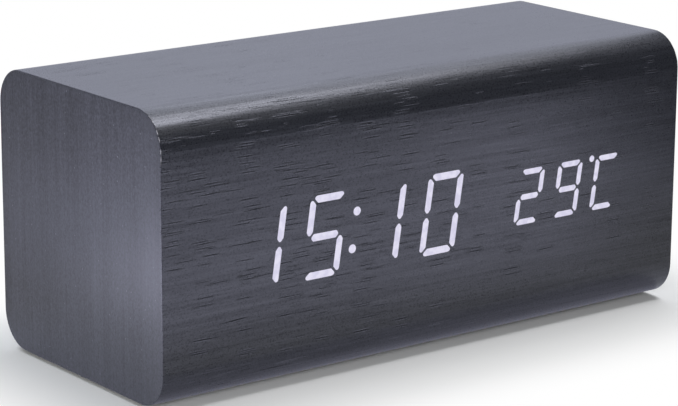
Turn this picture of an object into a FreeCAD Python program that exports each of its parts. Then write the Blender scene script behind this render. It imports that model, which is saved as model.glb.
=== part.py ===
import FreeCAD, Part
import math
import os
import Sketcher

# A wooden-cased LED desk clock with a thermometer, as an assembly of separate pieces, in millimetres.
#
# Frame: +X runs along the case, the display faces -Y, the battery door and buttons face +Y, +Z is up.
# The origin is on the surface the clock stands on, under the middle of the case.
#
# The case is an MDF tube closed by two end boards and covered in thin veneer. The display board and its
# light mask are screwed behind a window in the front wall. A moulded panel fills an opening in the back
# and carries the battery bay, the three buttons, the power inlet and the main board.

# ---------------------------------------------------------------- driving dimensions

SIZES = (
    # case
    ("case_length", 150.0, "outside length of the case"),
    ("case_depth", 65.0, "outside depth of the case, front to back"),
    ("case_height", 65.5, "outside height of the case, without its feet"),
    ("edge_radius", 8.5, "radius of the four long edges"),
    ("veneer", 0.5, "thickness of the veneer"),
    ("veneer_edge", 0.2, "softening of the veneer's cut edge"),
    ("wall", 6.0, "thickness of the MDF walls"),
    ("cavity_radius", 2.0, "corner radius of the hollow in the tube"),
    ("end_board", 6.0, "thickness of the end boards"),
    ("spigot", 2.0, "how far an end board reaches into the tube"),
    ("spigot_gap", 0.2, "clearance round an end board's spigot"),
    ("foot_diameter", 9.0, "diameter of a rubber foot"),
    ("foot_proud", 0.8, "how far a foot stands out of the case"),
    ("foot_sunk", 1.2, "depth of a foot's recess"),
    ("foot_inset", 15.0, "distance from the case's sides to a foot's centre"),
    # display
    ("mask_rim", 2.5, "how far the light mask reaches past the outermost bars"),
    ("mask_gap", 0.3, "clearance of the light mask in its window"),
    ("bar_depth", 3.0, "how deep a diffuser bar reaches behind the veneer"),
    ("display_lap_x", 4.0, "how far the display board reaches past the mask at its ends"),
    ("display_lap_z", 6.0, "how far the display board reaches past the mask above and below"),
    ("display_screw_inset", 2.8, "display screws, from the display board's edges"),
    ("board_thickness", 1.6, "thickness of both circuit boards"),
    ("display_drop", 0.1, "how far the display lies below the middle of the case"),
    ("slant", 0.151, "how far the digits lean to the right for each millimetre up"),
    ("time_inset", 51.45, "middle of the time, from the case's left end"),
    ("time_pitch", 16.66, "distance between the digits of the time"),
    ("time_column", 8.68, "distance between the left and right bars of a time digit"),
    ("time_rise", 8.59, "distance from the middle bar to the top bar of a time digit"),
    ("time_bar", 1.67, "width of a bar of the time"),
    ("colon_rise", 4.23, "height of a colon dot above or below the middle"),
    ("colon_diameter", 2.03, "diameter of a colon dot"),
    ("degree_pitch", 11.93, "distance between the temperature's digits"),
    ("degree_inset", 35.1, "middle digit of the temperature, from the case's right end"),
    ("degree_column", 6.39, "distance between the left and right bars of a temperature digit"),
    ("degree_rise", 5.9, "distance from the middle bar to the top bar of a temperature digit"),
    ("degree_bar", 1.34, "width of a bar of the temperature"),
    ("degree_dot_diameter", 1.54, "diameter of the degree dot"),
    ("degree_dot_rise", 6.15, "height of the degree dot above the middle of the digits"),
    ("degree_dot_left", 5.25, "degree dot, to the left of the last digit's centre"),
    ("led_length", 1.6, "length of an LED chip"),
    ("led_width", 0.8, "width of an LED chip"),
    ("led_height", 0.7, "height of an LED chip"),
    ("dot_led_length", 1.0, "length of the LED chip behind the degree dot"),
    ("dot_led_width", 0.5, "width of the LED chip behind the degree dot"),
    # back panel
    ("ledge", 6.0, "how far the back panel laps over the back wall at its ends"),
    ("lip", 3.5, "how far the back panel laps over the back wall above and below"),
    ("panel_radius", 4.0, "corner radius of the back panel"),
    ("moulded_edge", 0.3, "softening of the edges of moulded pieces"),
    ("panel_thickness", 2.2, "thickness of the back panel"),
    ("panel_recess", 1.4, "how far the back panel lies below the back of the case"),
    ("panel_gap", 0.25, "clearance round the back panel"),
    ("opening_gap", 0.5, "clearance of the battery bay in the opening, above and below"),
    ("opening_side", 2.0, "clearance of the main board at the right end of the opening"),
    ("batten_depth", 10.0, "depth of a screw batten"),
    ("batten_gap", 0.2, "clearance above and below a screw batten"),
    ("panel_screw_inset", 6.0, "panel screws, from the back panel's upper and lower edges"),
    ("panel_screw_diameter", 2.6, "shank diameter of a panel screw"),
    ("panel_screw_head", 5.0, "head diameter of a panel screw"),
    ("panel_screw_length", 10.0, "length of a panel screw under its head"),
    ("screw_head_height", 1.2, "height of the screw heads"),
    ("screw_gap", 0.05, "radial clearance of a screw in its hole"),
    ("small_screw_diameter", 2.2, "shank diameter of a board screw"),
    ("small_screw_head", 4.2, "head diameter of a board screw"),
    ("small_screw_length", 5.0, "length of a board screw under its head"),
    # battery bay
    ("bay_centre", -20.0, "x of the battery bay's centre"),
    ("bay_wall", 1.4, "wall thickness of the battery bay"),
    ("bay_side_gap", 0.45, "clearance of the outer cells in the battery bay"),
    ("bay_floor_gap", 0.6, "clearance under the cells"),
    ("spring_room", 5.7, "length of a contact spring under its cell's pressure"),
    ("door_lap", 5.0, "how far the battery door reaches past the bay at its ends"),
    ("door_lip", 0.9, "how far the battery door reaches past the bay above and below"),
    ("door_thickness", 1.5, "thickness of the battery door"),
    ("door_gap", 0.2, "clearance round the battery door"),
    ("door_radius", 1.5, "corner radius of the battery door"),
    ("tab_width", 7.0, "width of a hinge tab"),
    ("tab_spacing", 22.0, "distance between the two hinge tabs"),
    ("tab_thickness", 1.1, "thickness of a hinge tab"),
    ("tab_reach", 1.5, "how far a hinge tab reaches behind the panel"),
    ("latch_width", 12.0, "width of the latch"),
    ("latch_thickness", 0.9, "thickness of the latch's strip"),
    ("latch_depth", 5.0, "how far the latch's loop reaches inwards"),
    ("latch_bite", 0.7, "how far the latch's hook reaches behind the panel"),
    ("latch_slot", 0.9, "gap inside the latch's loop"),
    ("grip_pitch", 1.6, "distance between the grip ribs on the battery door"),
    ("grip_width", 0.6, "width of a grip rib"),
    ("grip_height", 0.3, "height of a grip rib"),
    ("cell_diameter", 10.5, "diameter of an AAA cell"),
    ("cell_body", 43.3, "length of an AAA cell without its contact"),
    ("cell_nub", 1.2, "length of an AAA cell's contact"),
    ("cell_nub_diameter", 3.8, "diameter of an AAA cell's contact"),
    ("cell_spacing", 0.4, "clearance between two cells"),
    ("cell_gap", 0.4, "clearance between a cell and the door"),
    ("cell_edge", 0.4, "rounding of a cell's rims"),
    ("contact_thickness", 0.4, "thickness of a contact plate"),
    ("contact_width", 8.0, "width of a contact plate"),
    ("spring_wire", 0.6, "wire diameter of a contact spring"),
    ("spring_base", 3.4, "radius of a contact spring at its plate"),
    ("spring_tip", 2.2, "radius of a contact spring at its cell"),
    ("spring_turns", 3.5, "turns of a contact spring"),
    # main board and what it carries
    ("main_gap", 2.8, "clearance between the battery door's recess and the main board"),
    ("main_width", 37.5, "width of the main board"),
    ("main_edge", 1.0, "clearance of the main board in the opening, above and below"),
    ("post_length", 8.9, "length of the posts that carry the main board"),
    ("post_diameter", 5.0, "diameter of the posts that carry the main board"),
    ("post_inset_x", 3.0, "main board screws, from the board's left and right edges"),
    ("post_inset_z", 2.5, "main board screws, from the board's top and bottom edges"),
    ("button_x", 18.0, "middle button, from the main board's left edge"),
    ("button_pitch", 11.5, "distance between the buttons"),
    ("button_z", 9.0, "buttons, above the middle of the case"),
    ("button_diameter", 6.4, "diameter of a button"),
    ("button_hole_gap", 0.25, "radial clearance of a button in its hole"),
    ("button_proud", 1.0, "how far a button stands out of the panel"),
    ("button_dish", 0.3, "depth of the dish in a button's face"),
    ("button_mark", 1.3, "radius of the raised mark in a button's dish"),
    ("button_flange", 8.2, "diameter of a button's flange"),
    ("button_flange_thickness", 0.8, "thickness of a button's flange"),
    ("button_play", 0.2, "gap between a button's flange and the panel"),
    ("button_stem", 3.2, "diameter of a button's stem"),
    ("switch_size", 6.0, "side of a switch housing"),
    ("switch_height", 3.5, "height of a switch housing"),
    ("plunger_diameter", 3.5, "diameter of a switch plunger"),
    ("plunger_flange", 4.3, "diameter of a switch plunger's flange"),
    ("plunger_flange_thickness", 0.6, "thickness of a switch plunger's flange"),
    ("plunger_proud", 1.5, "how far a plunger stands out of its switch"),
    ("plunger_gap", 0.2, "radial clearance of a plunger in its switch"),
    ("switch_roof", 0.6, "thickness of a switch housing's roof"),
    ("switch_floor", 0.8, "thickness of a switch housing's floor"),
    ("jack_x", 28.0, "power inlet, from the main board's left edge"),
    ("jack_z", -8.0, "power inlet, above the middle of the case"),
    ("jack_size", 8.0, "side of the power inlet's body"),
    ("jack_nose", 6.0, "diameter of the power inlet's nose"),
    ("jack_nose_gap", 0.2, "radial clearance of the nose in the panel"),
    ("jack_bore", 3.6, "bore of the power inlet"),
    ("jack_depth", 9.0, "depth of the power inlet's bore"),
    ("jack_pin", 1.3, "diameter of the power inlet's pin"),
    ("jack_pin_length", 8.0, "free length of the power inlet's pin"),
    ("jack_pin_root", 2.0, "diameter of the pin's root in the floor of the bore"),
    ("jack_pin_root_depth", 1.2, "depth of the pin's root"),
    ("jack_sunk", 0.2, "how far the nose lies below the panel's face"),
    ("buzzer_x", 8.5, "buzzer, from the main board's left edge"),
    ("buzzer_z", -8.0, "buzzer, above the middle of the case"),
    ("buzzer_diameter", 9.5, "diameter of the buzzer"),
    ("buzzer_height", 6.5, "height of the buzzer"),
    ("buzzer_hole", 2.0, "diameter of the hole in the buzzer's face"),
    ("buzzer_hollow", 1.5, "depth of the hole in the buzzer's face"),
    ("grille_hole", 1.2, "diameter of a sound hole"),
    ("grille_ring", 2.6, "radius of the ring of sound holes"),
    ("mic_x", 18.5, "microphone, from the main board's left edge"),
    ("mic_z", -8.0, "microphone, above the middle of the case"),
    ("mic_diameter", 6.0, "diameter of the microphone"),
    ("mic_height", 2.7, "height of the microphone"),
    ("mic_hole", 1.6, "diameter of the microphone's hole in the panel"),
    ("vent_x", 36.1, "middle vent slot, from the main board's left edge"),
    ("vent_z", -2.0, "vent slots, above the middle of the case"),
    ("vent_pitch", 2.0, "distance between the vent slots"),
    ("vent_width", 0.9, "width of a vent slot"),
    ("vent_height", 10.0, "height of a vent slot"),
    ("bead_diameter", 2.2, "diameter of the temperature sensor's bead"),
    ("bead_stand", 3.5, "height of the bead's centre above the board"),
    ("bead_lead", 0.5, "diameter of the bead's leads"),
    ("bead_lead_spread", 1.2, "distance between the bead's leads"),
    ("chip_length", 10.0, "length of a chip"),
    ("chip_width", 4.0, "width of a chip"),
    ("chip_height", 1.6, "height of a chip"),
    ("chip_lead", 0.45, "width of a chip's lead"),
    ("chip_lead_reach", 1.0, "how far a chip's lead stands out"),
    ("chip_lead_height", 0.8, "height of a chip's lead"),
    ("chip_lead_pitch", 1.27, "distance between a chip's leads"),
    ("clock_chip_x", 16.5, "clock chip, from the main board's left edge"),
    ("clock_chip_z", 0.5, "clock chip, above the middle of the case"),
    ("driver_chip_x", -10.0, "x of the LED driver chip"),
    ("crystal_diameter", 2.0, "diameter of the quartz crystal"),
    ("crystal_length", 6.0, "length of the quartz crystal"),
    ("crystal_x", 6.5, "quartz crystal, from the main board's left edge"),
    ("crystal_z", 7.0, "lower end of the quartz crystal, above the middle of the case"),
    ("coin_diameter", 20.0, "diameter of the backup cell"),
    ("coin_thickness", 3.2, "thickness of the backup cell"),
    ("coin_gap", 0.2, "clearance round the backup cell"),
    ("coin_rim", 1.0, "wall of the backup cell's holder"),
    ("coin_floor", 0.8, "floor of the backup cell's holder"),
    ("coin_z", -5.5, "backup cell, above the middle of the case"),
    ("capacitor_diameter", 6.3, "diameter of the smoothing capacitor"),
    ("capacitor_length", 11.0, "length of the smoothing capacitor"),
    ("capacitor_edge", 0.4, "rounding of the smoothing capacitor's top"),
    ("capacitor_x", 4.0, "smoothing capacitor, from the main board's right edge"),
    ("capacitor_z", 4.0, "smoothing capacitor, above the middle of the case"),
    ("header_length", 12.0, "length of a ribbon header"),
    ("header_width", 5.0, "width of a ribbon header"),
    ("header_height", 6.0, "height of a ribbon header"),
    ("header_z", 12.0, "main board's ribbon header, above the middle of the case"),
    ("display_header_z", 4.0, "display board's ribbon header, above the middle of the case"),
    ("ribbon_width", 10.0, "width of the ribbon cable"),
    ("ribbon_thickness", 0.8, "thickness of the ribbon cable"),
    ("lead_diameter", 1.2, "diameter of a battery lead"),
    ("lead_inset", 4.0, "where a battery lead leaves the bay's floor, from the bay's end"),
)

# A bar's end is cut at a slant. These are shares of the bar's own width.
TIP_RISE_SHARE = 0.3  # how far the pointed end of a top or bottom bar lies outside its centre line
TIP_PAST_SHARE = 0.06  # how far that point lies past the column's centre line
OUTER_CUT_SHARE = 0.69  # how far the outer corner steps back from the point
INNER_CUT_SHARE = 0.87  # how far the inner corner steps back from the point
MIDDLE_GAP_SHARE = 0.31  # gap between the middle bar's point and the column's centre line
MIDDLE_CUT_SHARE = 0.39  # how far the middle bar's corners step back from its point
COLUMN_GAP_SHARE = 0.11  # gap between a column bar's point and the middle line
COLUMN_CUT_SHARE = 0.69  # how far the corners step back from that point
COLUMN_PAST_SHARE = 0.08  # how far a column bar reaches past the top bar's centre line
SHOULDER_CUT_SHARE = 0.5  # how far the outer corner steps back there
SLOPE_CUT_SHARE = 0.8  # how far the inner corner steps back there
ROUND_SHARE = 0.29  # rounding of every corner

SEGMENTS = {"1": "bc", "2": "abged", "5": "afgcd", "9": "abcdfg", "0": "abcdef", "C": "afed"}
SHOWN_TIME = "1510"
SHOWN_TEMPERATURE = "29C"


class Size:
    """A number together with the sheet expression that gives it, so both are written once."""

    def __init__(self, number, text):
        self.number = float(number)
        self.text = text

    def __add__(self, other):
        other = as_size(other)
        return Size(self.number + other.number, f"({self.text} + {other.text})")

    def __sub__(self, other):
        other = as_size(other)
        return Size(self.number - other.number, f"({self.text} - {other.text})")

    def __mul__(self, other):
        other = as_size(other)
        return Size(self.number * other.number, f"({self.text} * {other.text})")

    def __truediv__(self, other):
        other = as_size(other)
        return Size(self.number / other.number, f"({self.text} / {other.text})")

    def __neg__(self):
        return Size(-self.number, f"(-1.0 * {self.text})")

    def __radd__(self, other):
        return as_size(other) + self

    def __rsub__(self, other):
        return as_size(other) - self

    def __rmul__(self, other):
        return as_size(other) * self


def as_size(value):
    return value if isinstance(value, Size) else Size(value, repr(float(value)))


class Sizes:
    """The driving dimensions, each read by its name from the document's spreadsheet."""

    def __init__(self, doc):
        self.sheet = doc.addObject("Spreadsheet::Sheet", "Sizes")
        for row, (alias, number, meaning) in enumerate(SIZES, start=1):
            self.sheet.set(f"A{row}", meaning)
            self.sheet.set(f"B{row}", str(number))
            self.sheet.setAlias(f"B{row}", alias)
        doc.recompute()

    def __getattr__(self, alias):
        return Size(self.sheet.get(alias), f"Sizes.{alias}")


doc = FreeCAD.newDocument("led_desk_clock")
s = Sizes(doc)
built = {}  # label of each sub-part, and the object that holds it

# ---------------------------------------------------------------- places that several pieces share

half_length = s.case_length / 2
front = -s.case_depth / 2
back = s.case_depth / 2
base = s.foot_proud
top = base + s.case_height
middle = base + s.case_height / 2

core_front = front + s.veneer
core_back = back - s.veneer
core_base = base + s.veneer
core_top = top - s.veneer
core_radius = s.edge_radius - s.veneer
cavity_front = core_front + s.wall
cavity_back = core_back - s.wall
cavity_base = core_base + s.wall
cavity_top = core_top - s.wall
tube_end = half_length - s.veneer - s.end_board

panel_face = back - s.panel_recess
panel_inside = panel_face - s.panel_thickness
door_inside = panel_face - s.door_thickness

cell_y = door_inside - s.cell_gap - s.cell_diameter / 2
cell_pitch = s.cell_diameter + s.cell_spacing
bay_length = s.cell_body + s.cell_nub + s.spring_room + 2 * s.contact_thickness
bay_height = 2 * cell_pitch + s.cell_diameter + 2 * s.bay_side_gap
bay_floor = door_inside - s.cell_gap - s.cell_diameter - s.bay_floor_gap
bay_bottom = bay_floor - s.bay_wall
bay_left = s.bay_centre - bay_length / 2
bay_right = s.bay_centre + bay_length / 2

door_left = bay_left - s.door_lap
door_right = bay_right + s.door_lap
door_height = bay_height + 2 * s.door_lip
recess_left = door_left - s.door_gap
recess_right = door_right + s.door_gap
latch_span = 2 * s.latch_thickness + s.latch_slot

main_left = recess_right + s.main_gap
main_right = main_left + s.main_width
main_front = panel_inside - s.post_length
main_back = main_front - s.board_thickness
plunger_top = main_front + s.switch_height + s.plunger_proud

opening_width = 2 * (main_right + s.opening_side)
opening_height = bay_height + 2 * s.bay_wall + 2 * s.opening_gap
main_height = opening_height - 2 * s.main_edge
panel_width = opening_width + 2 * s.ledge
panel_height = opening_height + 2 * s.lip
panel_screw_x = opening_width / 2 + s.ledge / 2
panel_screw_z = panel_height / 2 - s.panel_screw_inset
head_floor = panel_face - s.screw_head_height

time_centre = -half_length + s.time_inset
degree_centre = half_length - s.degree_inset
digit_top = s.time_rise + s.time_bar / 2
time_reach = 1.5 * s.time_pitch + (s.time_column + s.time_bar) / 2 + digit_top * s.slant
degree_top = s.degree_rise + s.degree_bar / 2
degree_reach = s.degree_pitch + (s.degree_column + s.degree_bar) / 2 + degree_top * s.slant
mask_left = time_centre - time_reach - s.mask_rim
mask_right = degree_centre + degree_reach + s.mask_rim
display_middle = middle - s.display_drop
mask_base = display_middle - digit_top - s.mask_rim
mask_top = display_middle + digit_top + s.mask_rim
display_back = cavity_front + s.board_thickness
foot_x = half_length - s.foot_inset
foot_y = s.case_depth / 2 - s.foot_inset

# ---------------------------------------------------------------- helpers: bodies, sketches, prisms

NORMAL_SIGN = {"YZ": 1, "XZ": -1, "XY": 1}  # which way each origin plane's normal points along its axis


def new_body(label):
    body = doc.addObject("PartDesign::Body", label)
    body.Label = label
    built[label] = body
    return body


def new_sketch(body, plane, at, draw):
    """A sketch on one of the body's own origin planes, moved along the plane's axis to the place `at`."""
    sketch = body.newObject("Sketcher::SketchObject", f"{body.Name}_sketch")
    support = [f for f in body.Origin.OriginFeatures if f.Role == f"{plane}_Plane"][0]
    sketch.AttachmentSupport = (support, "")
    sketch.MapMode = "FlatFace"
    sketch.setExpression("AttachmentOffset.Base.z", (at * NORMAL_SIGN[plane]).text)
    draw(sketch)
    return sketch


def prism(body, plane, at, to, draw):
    """Adds the drawn outline to the body, from the place `at` to the place `to` along the plane's axis."""
    feature = body.newObject("PartDesign::Pad", f"{body.Name}_pad")
    feature.Profile = new_sketch(body, plane, at, draw)
    feature.setExpression("Length", (to - at).text)
    feature.Reversed = NORMAL_SIGN[plane] < 0
    body.Tip = feature
    return feature


def cut(body, plane, at, to, draw):
    """Takes the drawn outline out of the body, from the place `at` to the place `to`."""
    feature = body.newObject("PartDesign::Pocket", f"{body.Name}_pocket")
    feature.Profile = new_sketch(body, plane, at, draw)
    feature.setExpression("Length", (to - at).text)
    feature.Reversed = NORMAL_SIGN[plane] > 0
    body.Tip = feature
    return feature


def fix(sketch, kind, *where):
    """Adds a constraint whose last argument is a Size, and binds it to the sheet."""
    *geometry, size = where
    name = f"size{sketch.ConstraintCount}"
    number = sketch.addConstraint(Sketcher.Constraint(kind, *geometry, size.number))
    sketch.renameConstraint(number, name)
    sketch.setExpression(f"Constraints.{name}", size.text)


def flat(x, y):
    return FreeCAD.Vector(as_size(x).number, as_size(y).number, 0)


def rectangle(sketch, left, right, bottom, high, radius=None):
    """A rectangle by its four sides, with rounded corners if a radius is given."""
    left, right, bottom, high = (as_size(v) for v in (left, right, bottom, high))
    r = as_size(radius or 0)
    lines = [
        (flat(left + r, bottom), flat(right - r, bottom)),
        (flat(right, bottom + r), flat(right, high - r)),
        (flat(right - r, high), flat(left + r, high)),
        (flat(left, high - r), flat(left, bottom + r)),
    ]
    sides = [sketch.addGeometry(Part.LineSegment(a, b), False) for a, b in lines]
    for side, direction in zip(sides, ("Horizontal", "Vertical", "Horizontal", "Vertical")):
        sketch.addConstraint(Sketcher.Constraint(direction, side))
    if radius is None:
        for side, following in zip(sides, sides[1:] + sides[:1]):
            sketch.addConstraint(Sketcher.Constraint("Coincident", side, 2, following, 1))
    else:
        round_corners(sketch, sides, (left, right, bottom, high), r)
    fix(sketch, "DistanceX", sides[3], 1, left)
    fix(sketch, "DistanceX", sides[1], 1, right)
    fix(sketch, "DistanceY", sides[0], 1, bottom)
    fix(sketch, "DistanceY", sides[2], 1, high)


def round_corners(sketch, sides, edges, r):
    """Joins the four sides of a rectangle with tangent arcs of one radius."""
    left, right, bottom, high = edges
    centres = (
        (right - r, bottom + r, 270),
        (right - r, high - r, 0),
        (left + r, high - r, 90),
        (left + r, bottom + r, 180),
    )
    arcs = []
    for x, y, start in centres:
        circle_of_arc = Part.Circle(flat(x, y), FreeCAD.Vector(0, 0, 1), r.number)
        ends = math.radians(start), math.radians(start + 90)
        arcs.append(sketch.addGeometry(Part.ArcOfCircle(circle_of_arc, *ends), False))
    for side, arc, following in zip(sides, arcs, sides[1:] + sides[:1]):
        sketch.addConstraint(Sketcher.Constraint("Tangent", side, 2, arc, 1))
        sketch.addConstraint(Sketcher.Constraint("Tangent", arc, 2, following, 1))
    for arc in arcs[1:]:
        sketch.addConstraint(Sketcher.Constraint("Equal", arcs[0], arc))
    fix(sketch, "Radius", arcs[0], r)


def circle(sketch, x, y, diameter):
    x, y, diameter = as_size(x), as_size(y), as_size(diameter)
    shape = Part.Circle(flat(x, y), FreeCAD.Vector(0, 0, 1), diameter.number / 2)
    number = sketch.addGeometry(shape, False)
    fix(sketch, "DistanceX", number, 3, x)
    fix(sketch, "DistanceY", number, 3, y)
    fix(sketch, "Diameter", number, diameter)


def polygon(sketch, points):
    """A closed outline of straight lines through the given points."""
    points = [(as_size(x), as_size(y)) for x, y in points]
    ends = zip(points, points[1:] + points[:1])
    lines = [sketch.addGeometry(Part.LineSegment(flat(*a), flat(*b)), False) for a, b in ends]
    for line, following in zip(lines, lines[1:] + lines[:1]):
        sketch.addConstraint(Sketcher.Constraint("Coincident", line, 2, following, 1))
    for line, (x, y) in zip(lines, points):
        fix(sketch, "DistanceX", line, 1, x)
        fix(sketch, "DistanceY", line, 1, y)


def circles(places, diameter):
    """A drawing of equal circles, for pieces and holes that repeat."""

    def draw(sketch):
        for x, y in places:
            circle(sketch, x, y, diameter)

    return draw


def soften(body, kind, radius, wanted):
    """Rounds (Fillet) or bevels (Chamfer) the edges of the body that `wanted` picks."""
    doc.recompute()
    tip = body.Tip
    names = [f"Edge{n}" for n, edge in enumerate(tip.Shape.Edges, start=1) if wanted(edge)]
    feature = body.newObject(f"PartDesign::{kind}", f"{body.Name}_{kind.lower()}")
    feature.Base = (tip, names)
    feature.setExpression("Radius" if kind == "Fillet" else "Size", radius.text)
    body.Tip = feature


def lies_at(edge, axis, place):
    """True if the whole edge lies in the plane where the axis has that value."""
    box = edge.BoundBox
    low, high = {"x": (box.XMin, box.XMax), "y": (box.YMin, box.YMax), "z": (box.ZMin, box.ZMax)}[axis]
    return abs(low - place.number) < 1e-4 and abs(high - place.number) < 1e-4


def solid_piece(label, shape):
    """A sub-part whose shape is worked out here from the sheet's sizes."""
    piece = doc.addObject("Part::Feature", label)
    piece.Label = label
    piece.Shape = shape
    built[label] = piece
    return piece


def vector(x, y, z):
    return FreeCAD.Vector(*(as_size(v).number for v in (x, y, z)))


def corners(x, y):
    return [(sx * x, sy * y) for sx in (-1, 1) for sy in (-1, 1)]


def in_order(one, other):
    """Two places along an axis, the lower one first."""
    return sorted((one, other), key=lambda place: place.number)


# ---------------------------------------------------------------- case


def end_outline(sketch):
    rectangle(sketch, core_front, core_back, core_base, core_top, core_radius)


def build_case_core():
    """The MDF tube, with the display window in front and the stepped opening for the panel behind."""
    body = new_body("case_core")

    def tube(sketch):
        end_outline(sketch)
        rectangle(sketch, cavity_front, cavity_back, cavity_base, cavity_top, s.cavity_radius)

    def window(sketch):
        left, right = mask_left - s.mask_gap, mask_right + s.mask_gap
        rectangle(sketch, left, right, mask_base - s.mask_gap, mask_top + s.mask_gap)

    def opening(sketch):
        half_width, half_height = opening_width / 2, opening_height / 2
        rectangle(sketch, -half_width, half_width, middle - half_height, middle + half_height)

    prism(body, "YZ", -tube_end, tube_end, tube)
    cut(body, "XZ", core_front, cavity_front, window)
    cut(body, "XZ", cavity_back, core_back, opening)
    cut(body, "XZ", panel_inside, core_back, panel_outline(s.panel_gap))
    cut(body, "XY", core_base, base + s.foot_sunk, circles(corners(foot_x, foot_y), s.foot_diameter))
    cut(body, "XZ", cavity_back, panel_inside, panel_screw_holes())
    cut(body, "XZ", display_back - s.small_screw_length, cavity_front, display_screw_holes())
    return body


def panel_outline(gap):
    def draw(sketch):
        half_width, half_height = panel_width / 2 + gap, panel_height / 2 + gap
        low, high = middle - half_height, middle + half_height
        rectangle(sketch, -half_width, half_width, low, high, s.panel_radius + gap)

    return draw


def panel_screw_places():
    return [(x, middle + z) for x, z in corners(panel_screw_x, panel_screw_z)]


def display_screw_places():
    out_x, out_z = s.display_lap_x - s.display_screw_inset, s.display_lap_z - s.display_screw_inset
    ends = mask_left - out_x, mask_right + out_x
    heights = mask_base - out_z, mask_top + out_z
    return [(x, z) for x in ends for z in heights]


def panel_screw_holes():
    return circles(panel_screw_places(), s.panel_screw_diameter + 2 * s.screw_gap)


def display_screw_holes():
    return circles(display_screw_places(), s.small_screw_diameter + 2 * s.screw_gap)


def build_wrap_veneer():
    """The sheet of veneer round the tube. Windows in it let the lit bars show."""
    body = new_body("wrap_veneer")

    def ring(sketch):
        rectangle(sketch, front, back, base, top, s.edge_radius)
        end_outline(sketch)

    prism(body, "YZ", -half_length, half_length, ring)
    cut(body, "XZ", core_back, back, panel_outline(s.panel_gap))
    cut(body, "XY", base, core_base, circles(corners(foot_x, foot_y), s.foot_diameter))

    def outer_end_edge(edge):
        box = edge.BoundBox
        outside = (
            box.YMax > core_back.number + 1e-3
            or box.YMin < core_front.number - 1e-3
            or box.ZMax > core_top.number + 1e-3
            or box.ZMin < core_base.number - 1e-3
        )
        return outside and (lies_at(edge, "x", half_length) or lies_at(edge, "x", -half_length))

    soften(body, "Fillet", s.veneer_edge, outer_end_edge)
    doc.recompute()
    lit = digits(lit=True, depth_from=front, depth_to=core_front)
    solid_piece("wrap_veneer", body.Shape.cut(Part.makeCompound(lit)))
    built["wrap_veneer"].Label = "wrap_veneer"
    body.Label = "wrap_veneer_blank"
    return body


def build_ends():
    """The end boards, each with a spigot in the tube, and the veneer on them."""
    for side, sign in (("left", -1), ("right", 1)):
        board = new_body(f"{side}_end_board")
        inner, outer = sign * tube_end, sign * (half_length - s.veneer)
        prism(board, "YZ", *in_order(inner, outer), end_outline)
        prism(board, "YZ", *in_order(inner - sign * s.spigot, inner), spigot_outline)
        sheet = new_body(f"{side}_end_veneer")
        prism(sheet, "YZ", *in_order(outer, sign * half_length), end_outline)


def spigot_outline(sketch):
    gap = s.spigot_gap
    low, high = cavity_base + gap, cavity_top - gap
    rectangle(sketch, cavity_front + gap, cavity_back - gap, low, high, s.cavity_radius)


def build_feet():
    body = new_body("rubber_feet")
    prism(body, "XY", as_size(0), base + s.foot_sunk, circles(corners(foot_x, foot_y), s.foot_diameter))
    bottom = as_size(0)
    soften(body, "Fillet", s.foot_proud / 2, lambda edge: lies_at(edge, "z", bottom))


def build_battens():
    """Wooden battens glued behind the ends of the opening. The panel screws bite in them."""
    for side, sign in (("left", -1), ("right", 1)):
        body = new_body(f"{side}_screw_batten")
        edge = opening_width / 2
        ends = in_order(sign * edge, sign * (edge + s.ledge))
        clear = s.cavity_radius + s.batten_gap

        def outline(sketch, ends=ends):
            rectangle(sketch, *ends, cavity_base + clear, cavity_top - clear)

        def holes(sketch, sign=sign):
            for z in (-panel_screw_z, panel_screw_z):
                hole = s.panel_screw_diameter + 2 * s.screw_gap
                circle(sketch, sign * panel_screw_x, middle + z, hole)

        prism(body, "XZ", cavity_back - s.batten_depth, cavity_back, outline)
        cut(body, "XZ", head_floor - s.panel_screw_length, cavity_back, holes)


# ---------------------------------------------------------------- display


def bar_outline(name, column, rise, width):
    """Corner points (across, up) of one bar of a digit, before the slant, about the digit's middle."""
    c, r, w = column / 2, rise, width
    tip = c + TIP_PAST_SHARE * w
    if name in "ad":
        points = [
            (-tip, r + TIP_RISE_SHARE * w),
            (-tip + OUTER_CUT_SHARE * w, r + w / 2),
            (tip - OUTER_CUT_SHARE * w, r + w / 2),
            (tip, r + TIP_RISE_SHARE * w),
            (tip - INNER_CUT_SHARE * w, r - w / 2),
            (-tip + INNER_CUT_SHARE * w, r - w / 2),
        ]
        return points if name == "a" else [(x, -z) for x, z in reversed(points)]
    if name == "g":
        tip = c - MIDDLE_GAP_SHARE * w
        flat_end = tip - MIDDLE_CUT_SHARE * w
        above = [(-tip, 0), (-flat_end, w / 2), (flat_end, w / 2)]
        return above + [(-x, -z) for x, z in above]
    low, high = COLUMN_GAP_SHARE * w, r + COLUMN_PAST_SHARE * w
    points = [
        (c, low),
        (c + w / 2, low + COLUMN_CUT_SHARE * w),
        (c + w / 2, high - SHOULDER_CUT_SHARE * w),
        (c + w / 4, high),
        (c - w / 2, high - SLOPE_CUT_SHARE * w),
        (c - w / 2, low + COLUMN_CUT_SHARE * w),
    ]
    if name in "ce":
        points = [(x, -z) for x, z in reversed(points)]
    if name in "ef":
        points = [(-x, z) for x, z in reversed(points)]
    return points


def slanted(x, z):
    """Where a point of the upright digits goes on the slanted display, in the case's frame."""
    return x + z * s.slant.number, display_middle.number + z


def extruded(points, depth_from, depth_to, rounding):
    """A solid bar with the given outline across X and Z, its corners rounded."""
    corners_3d = [FreeCAD.Vector(x, depth_from.number, z) for x, z in points]
    face = Part.Face(Part.makePolygon(corners_3d + corners_3d[:1]))
    solid = face.extrude(FreeCAD.Vector(0, (depth_to - depth_from).number, 0))
    long_edges = [e for e in solid.Edges if e.BoundBox.YLength > (depth_to - depth_from).number - 1e-6]
    return solid.makeFillet(rounding, long_edges)


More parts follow.
